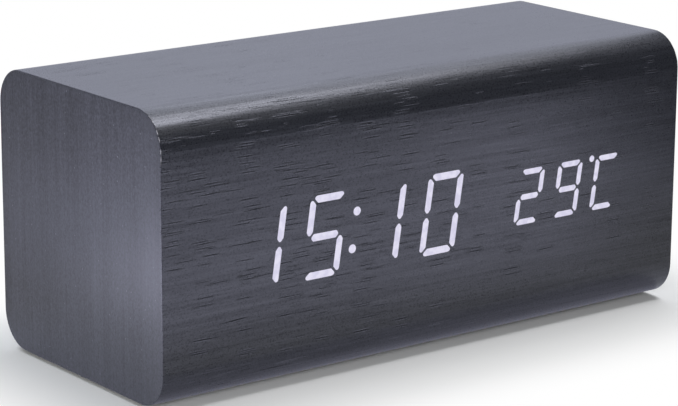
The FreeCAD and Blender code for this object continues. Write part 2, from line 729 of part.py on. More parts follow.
def bar(name, centre, column, rise, width, depth_from, depth_to):
    outline = [slanted(centre + x, z) for x, z in bar_outline(name, column, rise, width)]
    return extruded(outline, depth_from, depth_to, ROUND_SHARE * width)


def dot(x, z, diameter, depth_from, depth_to):
    x, z = slanted(x, z)
    length = (depth_to - depth_from).number
    return Part.makeCylinder(
        diameter / 2, length, FreeCAD.Vector(x, depth_from.number, z), FreeCAD.Vector(0, 1, 0)
    )


def time_places():
    return [(time_centre + (n - 1.5) * s.time_pitch).number for n in range(len(SHOWN_TIME))]


def temperature_places():
    return [(degree_centre + (n - 1) * s.degree_pitch).number for n in range(len(SHOWN_TEMPERATURE))]


def time_digits(lit, depth_from, depth_to):
    sizes = s.time_column.number, s.time_rise.number, s.time_bar.number
    solids = []
    for centre, sign in zip(time_places(), SHOWN_TIME):
        for name in "abcdefg":
            if (name in SEGMENTS[sign]) == lit:
                solids.append(bar(name, centre, *sizes, depth_from, depth_to))
    return solids


def colon_dots(depth_from, depth_to):
    x, rise = time_centre.number, s.colon_rise.number
    return [dot(x, z, s.colon_diameter.number, depth_from, depth_to) for z in (-rise, rise)]


def temperature_digits(lit, depth_from, depth_to):
    sizes = s.degree_column.number, s.degree_rise.number, s.degree_bar.number
    solids = []
    for centre, sign in zip(temperature_places(), SHOWN_TEMPERATURE):
        for name in "abcdefg":
            if (name in SEGMENTS[sign]) == lit:
                solids.append(bar(name, centre, *sizes, depth_from, depth_to))
    return solids


def degree_dot(depth_from, depth_to):
    x = temperature_places()[-1] - s.degree_dot_left.number
    return dot(x, s.degree_dot_rise.number, s.degree_dot_diameter.number, depth_from, depth_to)


def digits(lit, depth_from, depth_to):
    """Every bar of the display that is lit, or every one that isn't."""
    solids = time_digits(lit, depth_from, depth_to) + temperature_digits(lit, depth_from, depth_to)
    if lit:
        solids += colon_dots(depth_from, depth_to) + [degree_dot(depth_from, depth_to)]
    return solids


def build_light_mask():
    """The dark block behind the veneer, with one channel for each bar of the display."""
    width, height = (mask_right - mask_left).number, (mask_top - mask_base).number
    block = Part.makeBox(width, s.wall.number, height, vector(mask_left, core_front, mask_base))
    channels = digits(True, core_front, cavity_front) + digits(False, core_front, cavity_front)
    solid_piece("light_mask", block.cut(Part.makeCompound(channels)))


def build_bars():
    """The milky diffuser bars. The lit ones come through the veneer, the others stop behind it."""
    deep = core_front + s.bar_depth
    solid_piece("time_bars_lit", Part.makeCompound(time_digits(True, front, deep)))
    solid_piece("colon_dots", Part.makeCompound(colon_dots(front, deep)))
    solid_piece("time_bars_unlit", Part.makeCompound(time_digits(False, core_front, deep)))
    solid_piece("temperature_bars_lit", Part.makeCompound(temperature_digits(True, front, deep)))
    solid_piece("degree_dot", degree_dot(front, deep))
    solid_piece("temperature_bars_unlit", Part.makeCompound(temperature_digits(False, core_front, deep)))


def bar_middle(name, centre, column, rise):
    """Centre of a bar, for the LED behind it, and whether the bar stands upright."""
    across = {"a": 0, "b": 1, "c": 1, "d": 0, "e": -1, "f": -1, "g": 0}[name] * column / 2
    up = {"a": 1, "b": 0.5, "c": -0.5, "d": -1, "e": -0.5, "f": 0.5, "g": 0}[name] * rise
    x, z = slanted(centre + across, up)
    return x, z, name in "bcef"


def led_chip(x, z, upright, along=s.led_length, across=s.led_width):
    along, across = along.number, across.number
    width, height = (across, along) if upright else (along, across)
    deep = s.led_height.number
    corner = FreeCAD.Vector(x - width / 2, cavity_front.number - deep, z - height / 2)
    return Part.makeBox(width, deep, height, corner)


def build_leds():
    """The LED chips on the display board: two behind each bar of the time, one behind the others."""
    chips = []
    spread = s.led_length.number  # how far each LED of a pair stands from the bar's centre
    for centre in time_places():
        for name in "abcdefg":
            x, z, upright = bar_middle(name, centre, s.time_column.number, s.time_rise.number)
            for way in (-spread, spread):
                place = (x + way * s.slant.number, z + way) if upright else (x + way, z)
                chips.append(led_chip(*place, upright))
    for z in (-s.colon_rise.number, s.colon_rise.number):
        chips.append(led_chip(*slanted(time_centre.number, z), False))
    solid_piece("time_leds", Part.makeCompound(chips))
    chips = []
    for centre in temperature_places():
        for name in "abcdefg":
            place = bar_middle(name, centre, s.degree_column.number, s.degree_rise.number)
            chips.append(led_chip(*place))
    place = slanted(temperature_places()[-1] - s.degree_dot_left.number, s.degree_dot_rise.number)
    chips.append(led_chip(*place, False, s.dot_led_length, s.dot_led_width))
    solid_piece("temperature_leds", Part.makeCompound(chips))


def display_outline(sketch):
    low, high = mask_base - s.display_lap_z, mask_top + s.display_lap_z
    rectangle(sketch, mask_left - s.display_lap_x, mask_right + s.display_lap_x, low, high)


def build_display_board():
    board = new_body("display_board")
    prism(board, "XZ", cavity_front, display_back, display_outline)
    cut(board, "XZ", cavity_front, display_back, display_screw_holes())
    chip(new_body("led_driver_chip"), display_back, display_back + s.chip_height, s.driver_chip_x, middle)
    places = display_screw_places()
    build_screws("display_screws", places, display_back, -1, s.small_screw_diameter,
                 s.small_screw_head, s.small_screw_length)


def chip(body, low, high, x, z):
    """A chip on a board: its case from `low` to `high` along Y, and its leads down to the board at `low`."""

    def case(sketch):
        along, across = s.chip_length / 2, s.chip_width / 2
        rectangle(sketch, x - along, x + along, z - across, z + across)

    def leads(sketch):
        for n in range(8):
            left = x + (n - 3.5) * s.chip_lead_pitch - s.chip_lead / 2
            reach = s.chip_width / 2 + s.chip_lead_reach
            rectangle(sketch, left, left + s.chip_lead, z - reach, z + reach)

    prism(body, "XZ", low, high, case)
    prism(body, "XZ", low, low + s.chip_lead_height, leads)


def build_screws(label, places, under_head, towards, shank, head, length):
    """Screws along Y. `under_head` is where the head's underside lies and `towards` is the shank's way."""
    body = new_body(label)
    tip = under_head + towards * length
    crown = under_head - towards * s.screw_head_height
    prism(body, "XZ", *in_order(under_head, tip), circles(places, shank))
    prism(body, "XZ", *in_order(under_head, crown), circles(places, head))
    soften(body, "Fillet", s.moulded_edge, lambda edge: lies_at(edge, "y", crown))
    slot_floor = crown + towards * s.screw_head_height / 2
    arm, half_blade = head * 0.3, head * 0.06

    def cross(sketch):
        for x, z in places:
            polygon(sketch, [
                (x - arm, z - half_blade), (x - half_blade, z - half_blade), (x - half_blade, z - arm),
                (x + half_blade, z - arm), (x + half_blade, z - half_blade), (x + arm, z - half_blade),
                (x + arm, z + half_blade), (x + half_blade, z + half_blade), (x + half_blade, z + arm),
                (x - half_blade, z + arm), (x - half_blade, z + half_blade), (x - arm, z + half_blade),
            ])

    cut(body, "XZ", *in_order(slot_floor, crown), cross)


# ---------------------------------------------------------------- back panel and battery bay


def button_places():
    return [on_board(s.button_x + n * s.button_pitch, s.button_z) for n in (-1, 0, 1)]


def on_board(across, up):
    """A place (x, z) from the main board's left edge and the middle of the case."""
    return main_left + across, middle + up


def main_screw_places():
    low, high = main_left + s.post_inset_x, main_right - s.post_inset_x
    rise = main_height / 2 - s.post_inset_z
    return [(x, middle + z) for x in (low, high) for z in (-rise, rise)]


def build_rear_panel():
    """The moulded panel with the battery bay behind it and the posts for the main board."""
    body = new_body("rear_panel")
    prism(body, "XZ", panel_inside, panel_face, panel_outline(as_size(0)))
    soften(body, "Fillet", s.moulded_edge, lambda edge: lies_at(edge, "y", panel_face))

    def bay_outside(sketch):
        half_height = bay_height / 2 + s.bay_wall
        left, right = bay_left - s.bay_wall, bay_right + s.bay_wall
        rectangle(sketch, left, right, middle - half_height, middle + half_height)

    def bay_inside(sketch):
        half_height = bay_height / 2
        rectangle(sketch, bay_left, bay_right, middle - half_height, middle + half_height)

    def door_recess(sketch):
        half_height = door_height / 2 + s.door_gap
        low, high = middle - half_height, middle + half_height
        rectangle(sketch, recess_left, recess_right, low, high, s.door_radius + s.door_gap)

    def tab_slots(sketch):
        for z in (-s.tab_spacing / 2, s.tab_spacing / 2):
            half_width = s.tab_width / 2 + s.door_gap
            right = bay_left - s.bay_wall
            rectangle(sketch, recess_left, right, middle + z - half_width, middle + z + half_width)

    def latch_slot(sketch):
        half_width = s.latch_width / 2 + s.door_gap
        left = bay_right + s.bay_wall
        rectangle(sketch, left, recess_right, middle - half_width, middle + half_width)

    prism(body, "XZ", bay_bottom, panel_inside, bay_outside)
    prism(body, "XZ", main_front, panel_inside, circles(main_screw_places(), s.post_diameter))
    cut(body, "XZ", door_inside, panel_face, door_recess)
    cut(body, "XZ", bay_floor, door_inside, bay_inside)
    cut(body, "XZ", panel_inside, door_inside, tab_slots)
    cut(body, "XZ", panel_inside, door_inside, latch_slot)
    button_hole = s.button_diameter + 2 * s.button_hole_gap
    cut(body, "XZ", panel_inside, panel_face, circles(button_places(), button_hole))
    jack_hole = s.jack_nose + 2 * s.jack_nose_gap
    cut(body, "XZ", panel_inside, panel_face, circles([on_board(s.jack_x, s.jack_z)], jack_hole))
    cut(body, "XZ", panel_inside, panel_face, circles([on_board(s.mic_x, s.mic_z)], s.mic_hole))
    cut(body, "XZ", panel_inside, panel_face, circles(grille_places(), s.grille_hole))
    cut(body, "XZ", panel_inside, panel_face, vent_slots)
    cut(body, "XZ", panel_inside, panel_face, panel_screw_holes())
    head_hole = s.panel_screw_head + 2 * s.screw_gap
    cut(body, "XZ", head_floor, panel_face, circles(panel_screw_places(), head_hole))
    post_hole = s.small_screw_diameter + 2 * s.screw_gap
    hole_end = main_back + s.small_screw_length
    cut(body, "XZ", main_front, hole_end, circles(main_screw_places(), post_hole))
    places = panel_screw_places()
    build_screws("panel_screws", places, head_floor, -1, s.panel_screw_diameter,
                 s.panel_screw_head, s.panel_screw_length)


def grille_places():
    centre = on_board(s.buzzer_x, s.buzzer_z)
    ring = []
    for n in range(6):
        turn = math.radians(60 * n)
        place = (centre[0] + s.grille_ring * math.cos(turn), centre[1] + s.grille_ring * math.sin(turn))
        ring.append(place)
    return [centre] + ring


def vent_slots(sketch):
    for n in (-1, 0, 1):
        x, z = on_board(s.vent_x + n * s.vent_pitch, s.vent_z)
        half_width, half_height = s.vent_width / 2, s.vent_height / 2
        rectangle(sketch, x - half_width, x + half_width, z - half_height, z + half_height)


def build_battery_door():
    """The door: a plate whose two tabs hook behind the panel's left edge, and a notch for its latch."""
    body = new_body("battery_door")

    def plate(sketch):
        half_height = door_height / 2
        rectangle(sketch, door_left, door_right, middle - half_height, middle + half_height, s.door_radius)

    def tab_legs(sketch):
        for z in (-s.tab_spacing / 2, s.tab_spacing / 2):
            left, half_width = door_left + s.door_gap, s.tab_width / 2
            right = left + s.tab_thickness
            rectangle(sketch, left, right, middle + z - half_width, middle + z + half_width)

    def tab_tongues(sketch):
        for z in (-s.tab_spacing / 2, s.tab_spacing / 2):
            left, half_width = door_left - s.tab_reach, s.tab_width / 2
            right = door_left + s.door_gap + s.tab_thickness
            rectangle(sketch, left, right, middle + z - half_width, middle + z + half_width)

    def latch_notch(sketch):
        half_width = s.latch_width / 2 + s.door_gap
        left = door_right - latch_span
        rectangle(sketch, left, door_right + s.door_gap, middle - half_width, middle + half_width)

    def grip_ribs(sketch):
        half_width = s.latch_width / 2
        for n in range(1, 6):
            right = door_right - latch_span - n * s.grip_pitch
            rectangle(sketch, right - s.grip_width, right, middle - half_width, middle + half_width)

    tongue_face = panel_inside - s.door_gap
    prism(body, "XZ", door_inside, panel_face, plate)
    soften(body, "Fillet", s.moulded_edge, lambda edge: lies_at(edge, "y", panel_face))
    prism(body, "XZ", panel_face, panel_face + s.grip_height, grip_ribs)
    prism(body, "XZ", tongue_face - s.tab_thickness, door_inside, tab_legs)
    prism(body, "XZ", tongue_face - s.tab_thickness, tongue_face, tab_tongues)
    cut(body, "XZ", door_inside, panel_face, latch_notch)


def build_battery_latch():
    """The springy loop at the door's right edge, whose hook snaps behind the panel."""
    body = new_body("battery_door_latch")
    left = door_right - latch_span
    t = s.latch_thickness
    deep = panel_face - s.latch_depth
    hook_face = panel_inside - s.door_gap

    def loop(sketch):
        polygon(sketch, [
            (left, deep), (door_right, deep), (door_right, hook_face - 2 * t),
            (door_right + s.latch_bite, hook_face - t), (door_right + s.latch_bite, hook_face),
            (door_right, hook_face), (door_right, panel_face), (door_right - t, panel_face),
            (door_right - t, deep + t), (left + t, deep + t), (left + t, panel_face), (left, panel_face),
        ])

    half_width = s.latch_width / 2
    prism(body, "XY", middle - half_width, middle + half_width, loop)


def build_cells():
    """Three AAA cells, head to tail."""
    for n in range(3):
        body = new_body(f"aaa_cell_{n + 1}")
        z = middle + (n - 1) * cell_pitch
        sign = -1 if n == 1 else 1
        nub_end = s.bay_centre + sign * (bay_length / 2 - s.contact_thickness)
        shoulder = nub_end - sign * s.cell_nub
        foot = shoulder - sign * s.cell_body
        for one, other, diameter in (
            (foot, shoulder, s.cell_diameter),
            (shoulder, nub_end, s.cell_nub_diameter),
        ):
            prism(body, "YZ", *in_order(one, other), circles([(cell_y, z)], diameter))
        rim = s.cell_diameter.number - 1e-3
        soften(body, "Fillet", s.cell_edge, lambda edge, foot=foot, shoulder=shoulder: (
            lies_at(edge, "x", foot) or lies_at(edge, "x", shoulder)
        ) and edge.BoundBox.YLength > rim)


def build_contacts():
    """The contact plates at both ends of the bay, and the springs that press on the cells' flat ends."""
    plates = new_body("contact_plates")
    half = s.contact_width / 2

    def at_left(sketch):
        for low, high in ((-cell_pitch, 0), (cell_pitch, cell_pitch)):
            rectangle(sketch, cell_y - half, cell_y + half, middle + low - half, middle + high + half)

    def at_right(sketch):
        for low, high in ((-cell_pitch, -cell_pitch), (0, cell_pitch)):
            rectangle(sketch, cell_y - half, cell_y + half, middle + low - half, middle + high + half)

    prism(plates, "YZ", bay_left, bay_left + s.contact_thickness, at_left)
    prism(plates, "YZ", bay_right - s.contact_thickness, bay_right, at_right)
    springs = []
    for n in range(3):
        sign = 1 if n == 1 else -1
        springs.append(contact_spring(sign, middle + (n - 1) * cell_pitch))
    solid_piece("contact_springs", Part.makeCompound(springs))


def contact_spring(sign, z):
    """One conical spring along X, from the flat end of a cell out to its plate."""
    wire, height = s.spring_wire.number, s.spring_room.number - s.spring_wire.number
    tip, base_radius, turns = s.spring_tip.number, s.spring_base.number, s.spring_turns.number
    count = int(turns * 8)
    points = []
    for n in range(count + 1):
        share, turn = n / count, 2 * math.pi * turns * n / count
        radius = tip + (base_radius - tip) * share
        points.append(FreeCAD.Vector(radius * math.cos(turn), radius * math.sin(turn), height * share))
    line = Part.BSplineCurve()
    line.interpolate(points)
    way = line.tangent(line.FirstParameter)[0]
    section = Part.Wire(Part.makeCircle(wire / 2, points[0], way))
    spring = Part.Wire(line.toShape()).makePipeShell([section], True, True)
    plate = s.bay_centre + sign * (bay_length / 2 - s.contact_thickness)
    cell_end = plate - sign * (s.spring_room - s.spring_wire / 2)
    turned = FreeCAD.Rotation(FreeCAD.Vector(0, 0, 1), FreeCAD.Vector(sign, 0, 0))
    spring.Placement = FreeCAD.Placement(vector(cell_end, cell_y, z), turned)
    return spring


# ---------------------------------------------------------------- main board


def build_main_board():
    board = new_body("main_board")

    def outline(sketch):
        half_height = main_height / 2
        rectangle(sketch, main_left, main_right, middle - half_height, middle + half_height)

    hole = s.small_screw_diameter + 2 * s.screw_gap
    prism(board, "XZ", main_back, main_front, outline)
    cut(board, "XZ", main_back, main_front, circles(main_screw_places(), hole))
    places = main_screw_places()
    build_screws("board_screws", places, main_back, 1, s.small_screw_diameter,
                 s.small_screw_head, s.small_screw_length)


def build_buttons():
    """The three buttons, the plungers that they press, and the housings of their switches."""
    flange_face = panel_inside - s.button_play
    flange_back = flange_face - s.button_flange_thickness
    crown = panel_face + s.button_proud
    switch_top = main_front + s.switch_height
    roof = switch_top - s.switch_roof
    flange_low = roof - s.plunger_flange_thickness
    for name, place in zip(("set", "up", "down"), button_places()):
        cap = new_body(f"{name}_button")
        prism(cap, "XZ", plunger_top, flange_back, circles([place], s.button_stem))
        prism(cap, "XZ", flange_back, flange_face, circles([place], s.button_flange))
        prism(cap, "XZ", flange_face, crown, circles([place], s.button_diameter))
        dish = s.button_diameter - 4 * s.button_dish
        cut(cap, "XZ", crown - s.button_dish, crown, circles([place], dish))
        prism(cap, "XZ", crown - s.button_dish, crown, button_mark(name, place))
        soften(cap, "Fillet", s.moulded_edge, lambda edge: (
            lies_at(edge, "y", crown) and edge.BoundBox.XLength > s.button_diameter.number - 1e-3
        ))
        plunger = new_body(f"{name}_switch_plunger")
        prism(plunger, "XZ", flange_low, roof, circles([place], s.plunger_flange))
        prism(plunger, "XZ", roof, plunger_top, circles([place], s.plunger_diameter))

    housings = new_body("switch_housings")

    def squares(sketch):
        half = s.switch_size / 2
        for x, z in button_places():
            rectangle(sketch, x - half, x + half, z - half, z + half)

    prism(housings, "XZ", main_front, switch_top, squares)
    cavity = s.plunger_flange + 2 * s.plunger_gap
    mouth = s.plunger_diameter + 2 * s.plunger_gap
    cut(housings, "XZ", roof, switch_top, circles(button_places(), mouth))
    cut(housings, "XZ", main_front + s.switch_floor, roof, circles(button_places(), cavity))


def button_mark(name, place):
    """The raised mark in a button's dish: a dot for set, an arrow head for up and for down."""
    x, z = place
    r = s.button_mark

    def dot_mark(sketch):
        circle(sketch, x, z, r)

    def arrow_mark(sketch):
        way = 1 if name == "up" else -1
        polygon(sketch, [(x - r, z - way * r * 0.6), (x + r, z - way * r * 0.6), (x, z + way * r * 0.8)])

    return dot_mark if name == "set" else arrow_mark


def build_power_inlet():
    """The barrel inlet: a body with a nose in the panel's hole, and its centre pin."""
    place = on_board(s.jack_x, s.jack_z)
    body = new_body("power_inlet_body")
    nose_face = panel_face - s.jack_sunk
    shoulder = panel_inside - s.jack_nose_gap
    bore_floor = nose_face - s.jack_depth

    def block(sketch):
        half = s.jack_size / 2
        x, z = place
        rectangle(sketch, x - half, x + half, z - half, z + half)

    prism(body, "XZ", main_front, shoulder, block)
    prism(body, "XZ", shoulder, nose_face, circles([place], s.jack_nose))
    cut(body, "XZ", bore_floor, nose_face, circles([place], s.jack_bore))
    cut(body, "XZ", bore_floor - s.jack_pin_root_depth, bore_floor, circles([place], s.jack_pin_root))
    pin = new_body("power_inlet_pin")
    prism(pin, "XZ", bore_floor - s.jack_pin_root_depth, bore_floor, circles([place], s.jack_pin_root))
    prism(pin, "XZ", bore_floor, bore_floor + s.jack_pin_length, circles([place], s.jack_pin))


def build_sound():
    buzzer = new_body("buzzer")
    place = on_board(s.buzzer_x, s.buzzer_z)
    crown = main_front + s.buzzer_height
    prism(buzzer, "XZ", main_front, crown, circles([place], s.buzzer_diameter))
    cut(buzzer, "XZ", crown - s.buzzer_hollow, crown, circles([place], s.buzzer_hole))
    mic = new_body("microphone")
    place = on_board(s.mic_x, s.mic_z)
    prism(mic, "XZ", main_front, main_front + s.mic_height, circles([place], s.mic_diameter))


def build_electronics():
    """The chip, crystal, capacitor, backup cell and temperature sensor on the main board."""
    place = on_board(s.clock_chip_x, s.clock_chip_z)
    chip(new_body("clock_chip"), main_front, main_front + s.chip_height, *place)

    crystal = new_body("quartz_crystal")
    x, low = on_board(s.crystal_x, s.crystal_z)
    place = (x, main_back - s.crystal_diameter / 2)
    prism(crystal, "XY", low, low + s.crystal_length, circles([place], s.crystal_diameter))

    capacitor = new_body("smoothing_capacitor")
    place = (main_right - s.capacitor_x, middle + s.capacitor_z)
    end = main_back - s.capacitor_length
    prism(capacitor, "XZ", end, main_back, circles([place], s.capacitor_diameter))
    soften(capacitor, "Fillet", s.capacitor_edge, lambda edge: lies_at(edge, "y", end))

    place = ((main_left + main_right) / 2, middle + s.coin_z)
    holder = new_body("backup_cell_holder")
    pocket = s.coin_diameter + 2 * s.coin_gap
    mouth = main_back - s.coin_floor - s.coin_thickness
    prism(holder, "XZ", mouth, main_back, circles([place], pocket + 2 * s.coin_rim))
    cut(holder, "XZ", mouth, main_back - s.coin_floor, circles([place], pocket))
    cell = new_body("backup_cell")
    prism(cell, "XZ", mouth, main_back - s.coin_floor, circles([place], s.coin_diameter))

    bead_y = main_front + s.bead_stand
    x, z = on_board(s.vent_x - s.vent_pitch, s.vent_z)
    ball = Part.makeSphere((s.bead_diameter / 2).number, vector(x, bead_y, z))
    for way in (-1, 1):
        foot = vector(x + way * s.bead_lead_spread / 2, main_front, z)
        lead = Part.makeCylinder(
            (s.bead_lead / 2).number, s.bead_stand.number, foot, FreeCAD.Vector(0, 1, 0)
        )
        ball = ball.fuse(lead)
    solid_piece("temperature_sensor", ball)


def build_wiring():
    """The ribbon between the boards with its headers, and the two battery leads."""
    x = (main_left + main_right) / 2
    display_z, main_z = middle + s.display_header_z, middle + s.header_z

    def socket(z):
        def draw(sketch):
            along, across = s.header_length / 2, s.header_width / 2
            rectangle(sketch, x - along, x + along, z - across, z + across)

        return draw

    headers = new_body("ribbon_headers")
    display_end = display_back + s.header_height
    main_end = main_back - s.header_height
    prism(headers, "XZ", display_back, display_end, socket(display_z))
    prism(headers, "XZ", main_end, main_back, socket(main_z))

    third = (main_end - display_end) / 3
    path = rounded_path([
        vector(x, display_end, display_z),
        vector(x, display_end + third, display_z),
        vector(x, main_end - third, main_z),
        vector(x, main_end, main_z),
    ])
    across, thick = s.ribbon_width / 2, s.ribbon_thickness / 2
    rim = [
        vector(x + i * across, display_end, display_z + j * thick)
        for i, j in ((-1, -1), (1, -1), (1, 1), (-1, 1))
    ]
    section = Part.makePolygon(rim + rim[:1])
    solid_piece("ribbon_cable", path.makePipeShell([section], True, False))

    behind = bay_bottom - 2 * s.lead_diameter
    bend = main_left + s.post_inset_x
    for name, start, sign in (
        ("red", bay_right - s.lead_inset, -1),
        ("black", bay_left + s.lead_inset, 1),
    ):
        out, home = middle + sign * cell_pitch, middle + sign * cell_pitch / 2
        route = [
            vector(start, bay_bottom, out),
            vector(start, behind, out),
            vector(bend, behind, home),
            vector(bend, main_back, home),
        ]
        solid_piece(f"battery_lead_{name}", tube(route, s.lead_diameter.number))


def rounded_path(points):
    """A wire of straight runs through the points, joined by the largest tangent arcs that the runs allow."""
    share = 0.45  # of the shorter run, that an arc may take up on each side of its point
    edges, start = [], points[0]
    for before, point, after in zip(points, points[1:], points[2:]):
        come, go = (point - before), (after - point)
        reach = share * min(come.Length, go.Length)
        come.normalize()
        go.normalize()
        into, out = point - come * reach, point + go * reach
        towards_centre = go - come
        towards_centre.normalize()
        half_turn = come.getAngle(go) / 2
        radius = reach / math.tan(half_turn)
        middle_of_arc = point + towards_centre * (radius / math.cos(half_turn) - radius)
        edges.append(Part.LineSegment(start, into).toShape())
        edges.append(Part.Arc(into, middle_of_arc, out).toShape())
        start = out
    edges.append(Part.LineSegment(start, points[-1]).toShape())
    return Part.Wire(edges)


def tube(points, diameter):
    """A round lead along the points."""
    path = rounded_path(points)
    section = Part.Wire(Part.makeCircle(diameter / 2, points[0], points[1] - points[0]))
    return path.makePipeShell([section], True, False)


# ---------------------------------------------------------------- build, check and write


def check(label, piece):
    """Stops the build if a sub-part, or a feature that makes it, has failed."""
    features = [piece] + list(getattr(piece, "Group", []))
    for feature in features:
        if {"Invalid", "Error"} & set(feature.State):
            raise RuntimeError(f"{label}: {feature.Name} failed: {feature.State}")
        if feature.TypeId == "PartDesign::Pocket":
            taken = feature.BaseFeature.Shape.Volume - feature.Shape.Volume
            if taken < 1e-3:
                raise RuntimeError(f"{label}: {feature.Name} cuts nothing")
    shape = piece.Shape
    if shape.isNull() or not shape.isValid() or not shape.Solids:
        raise RuntimeError(f"{label}: no valid solid")


def main():
    build_case_core()
    build_wrap_veneer()
    build_ends()
    build_feet()
    build_battens()
    build_light_mask()
    build_bars()
    build_leds()
    build_display_board()
    build_rear_panel()
    build_battery_door()
    build_battery_latch()
    build_cells()
    build_contacts()
    build_main_board()
    build_buttons()
    build_power_inlet()
    build_sound()
    build_electronics()
    build_wiring()
    doc.recompute()
    for label, piece in built.items():
        check(label, piece)
    os.makedirs("parts", exist_ok=True)
    for label, piece in built.items():
        piece.Shape.exportStep(f"parts/{label}.step")
        volume = piece.Shape.Volume
        print(f"{label}: {len(piece.Shape.Solids)} solids, {volume:.1f} mm3")


main()
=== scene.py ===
# %% [markdown]
# # A desk clock in a black wooden case
# This lesson dresses a finished CAD model in Blender. The clock is a block of fibreboard wrapped in
# black-stained veneer, and its white digits shine through the front. The CAD model gives every shape
# its place. Here it gets its materials, its small repeated pieces, a camera and soft studio light.

# %% Load the frame
import math
from functools import reduce

import bmesh
import bpy
import numpy as np
from mathutils import Matrix, Vector


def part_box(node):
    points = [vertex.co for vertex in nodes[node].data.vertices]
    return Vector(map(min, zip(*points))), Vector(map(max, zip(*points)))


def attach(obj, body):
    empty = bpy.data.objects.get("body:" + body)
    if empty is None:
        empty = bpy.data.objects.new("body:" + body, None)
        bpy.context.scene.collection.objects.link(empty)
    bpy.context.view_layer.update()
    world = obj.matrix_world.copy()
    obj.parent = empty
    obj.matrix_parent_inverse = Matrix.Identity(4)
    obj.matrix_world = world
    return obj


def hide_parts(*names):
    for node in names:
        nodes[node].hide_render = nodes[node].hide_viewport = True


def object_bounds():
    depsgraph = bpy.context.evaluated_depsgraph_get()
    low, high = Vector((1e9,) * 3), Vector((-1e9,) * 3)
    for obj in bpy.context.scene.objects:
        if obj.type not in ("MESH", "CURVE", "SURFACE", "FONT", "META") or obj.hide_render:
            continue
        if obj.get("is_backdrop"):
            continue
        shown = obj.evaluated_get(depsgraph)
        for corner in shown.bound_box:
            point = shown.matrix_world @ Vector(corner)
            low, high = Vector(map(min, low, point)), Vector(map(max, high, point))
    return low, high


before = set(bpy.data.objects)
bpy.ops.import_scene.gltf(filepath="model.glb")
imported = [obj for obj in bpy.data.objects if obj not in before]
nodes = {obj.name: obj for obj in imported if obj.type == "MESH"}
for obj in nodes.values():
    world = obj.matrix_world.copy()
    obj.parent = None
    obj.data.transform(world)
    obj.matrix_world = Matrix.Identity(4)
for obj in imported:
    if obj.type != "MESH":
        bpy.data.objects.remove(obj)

MM = 0.001
cad_low, cad_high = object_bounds()
print("CAD nodes:", len(nodes), "size in mm:", [round(v / MM, 1) for v in cad_high - cad_low])

# %% [markdown]
# ## The camera
# A small object looks its true shape through a long lens from a little above. Azimuth and elevation say
# where the camera stands, so that the front, the top and the left end all show. The camera's own axes
# come from those two angles and a slight roll, and form its matrix column by column.

# %% Camera
AZIMUTH, ELEVATION, ROLL = (math.radians(a) for a in (-37.677, 14.444, 0.352))
CAMERA_DISTANCE = 633.356 * MM
AIM = (-2.333 * MM, -6.325 * MM)    # to the right and up, as the camera sees it
AIM_HEIGHT = 35.8 * MM
LENS_MM, FILM_WIDTH_MM = 142.64, 36

back = Vector((
    math.sin(AZIMUTH) * math.cos(ELEVATION),
    -math.cos(AZIMUTH) * math.cos(ELEVATION),
    math.sin(ELEVATION),
))
level = Vector((math.cos(AZIMUTH), math.sin(AZIMUTH), 0))
upright = back.cross(level)
right = math.cos(ROLL) * level + math.sin(ROLL) * upright
up = -math.sin(ROLL) * level + math.cos(ROLL) * upright
place = right * AIM[0] + up * AIM[1] + back * CAMERA_DISTANCE + Vector((0, 0, AIM_HEIGHT))

camera = bpy.data.objects.new("camera", bpy.data.cameras.new("camera"))
camera.data.lens = LENS_MM
camera.data.sensor_width = FILM_WIDTH_MM
camera.data.clip_start, camera.data.clip_end = 0.01, 50
camera.matrix_world = Matrix.Translation(place) @ Matrix((right, up, back)).transposed().to_4x4()
bpy.context.scene.collection.objects.link(camera)
bpy.context.scene.camera = camera
bpy.context.scene.view_settings.view_transform = "Standard"
print("camera at", [round(v, 3) for v in place])

# %% [markdown]
# ## A short language for materials
# Each finish is a node tree on a Principled shader. Written out link by link such a tree is long, so
# `Nodes` makes and links the nodes of any tree, and `Finish` adds a plain word for each pattern: `noise`,
# `cells`, `ramp`, `mix`, `bump`. All patterns read Object coordinates. They are in metres and stay fixed
# to the piece, so a pattern's size is written in millimetres, one number for each direction.

# %% Colours
def paint(red, green, blue):
    """A colour written as 0 to 255 on a screen, as the linear colour that a shader takes."""
    def linear(v):
        v /= 255
        return v / 12.92 if v <= 0.04045 else ((v + 0.055) / 1.055) ** 2.4
    return linear(red), linear(green), linear(blue), 1.0


print("screen grey 128 as a linear colour:", round(paint(128, 128, 128)[0], 3))

# %% Nodes of any tree
class Nodes:
    """Short words for the nodes of any tree."""
    family = "ShaderNode"

    def __init__(self, tree):
        self.tree = tree

    def feed(self, socket, value):
        """Gives a socket a number, a colour or another node's output."""
        if isinstance(value, bpy.types.NodeSocket):
            self.tree.links.new(value, socket)
        else:
            socket.default_value = value

    def node(self, kind, inputs=(), **settings):
        whole_name = kind.startswith(("Shader", "Function"))
        made = self.tree.nodes.new(kind if whole_name else self.family + kind)
        for key, value in settings.items():
            setattr(made, key, value)
        for key, value in dict(inputs).items():
            self.feed(made.inputs[key], value)
        return made

    def out(self, kind, inputs=(), **settings):
        """A new node's first output."""
        return self.node(kind, inputs, **settings).outputs[0]

    def math(self, operation, a, b=0.0):
        return self.out("ShaderNodeMath", {0: a, 1: b}, operation=operation)

    def total(self, *values):
        return reduce(lambda a, b: self.math("ADD", a, b), values)

    def times(self, *values):
        return reduce(lambda a, b: self.math("MULTIPLY", a, b), values)

    def vector(self, x, y, z):
        return self.out("ShaderNodeCombineXYZ", {0: x, 1: y, 2: z})

    def parts(self, vector):
        return self.node("ShaderNodeSeparateXYZ", {"Vector": vector}).outputs

    def choose(self, share, a, b):
        """Shader a where share is 0, and b where it is 1."""
        return self.out("MixShader", {0: share, 1: a, 2: b})

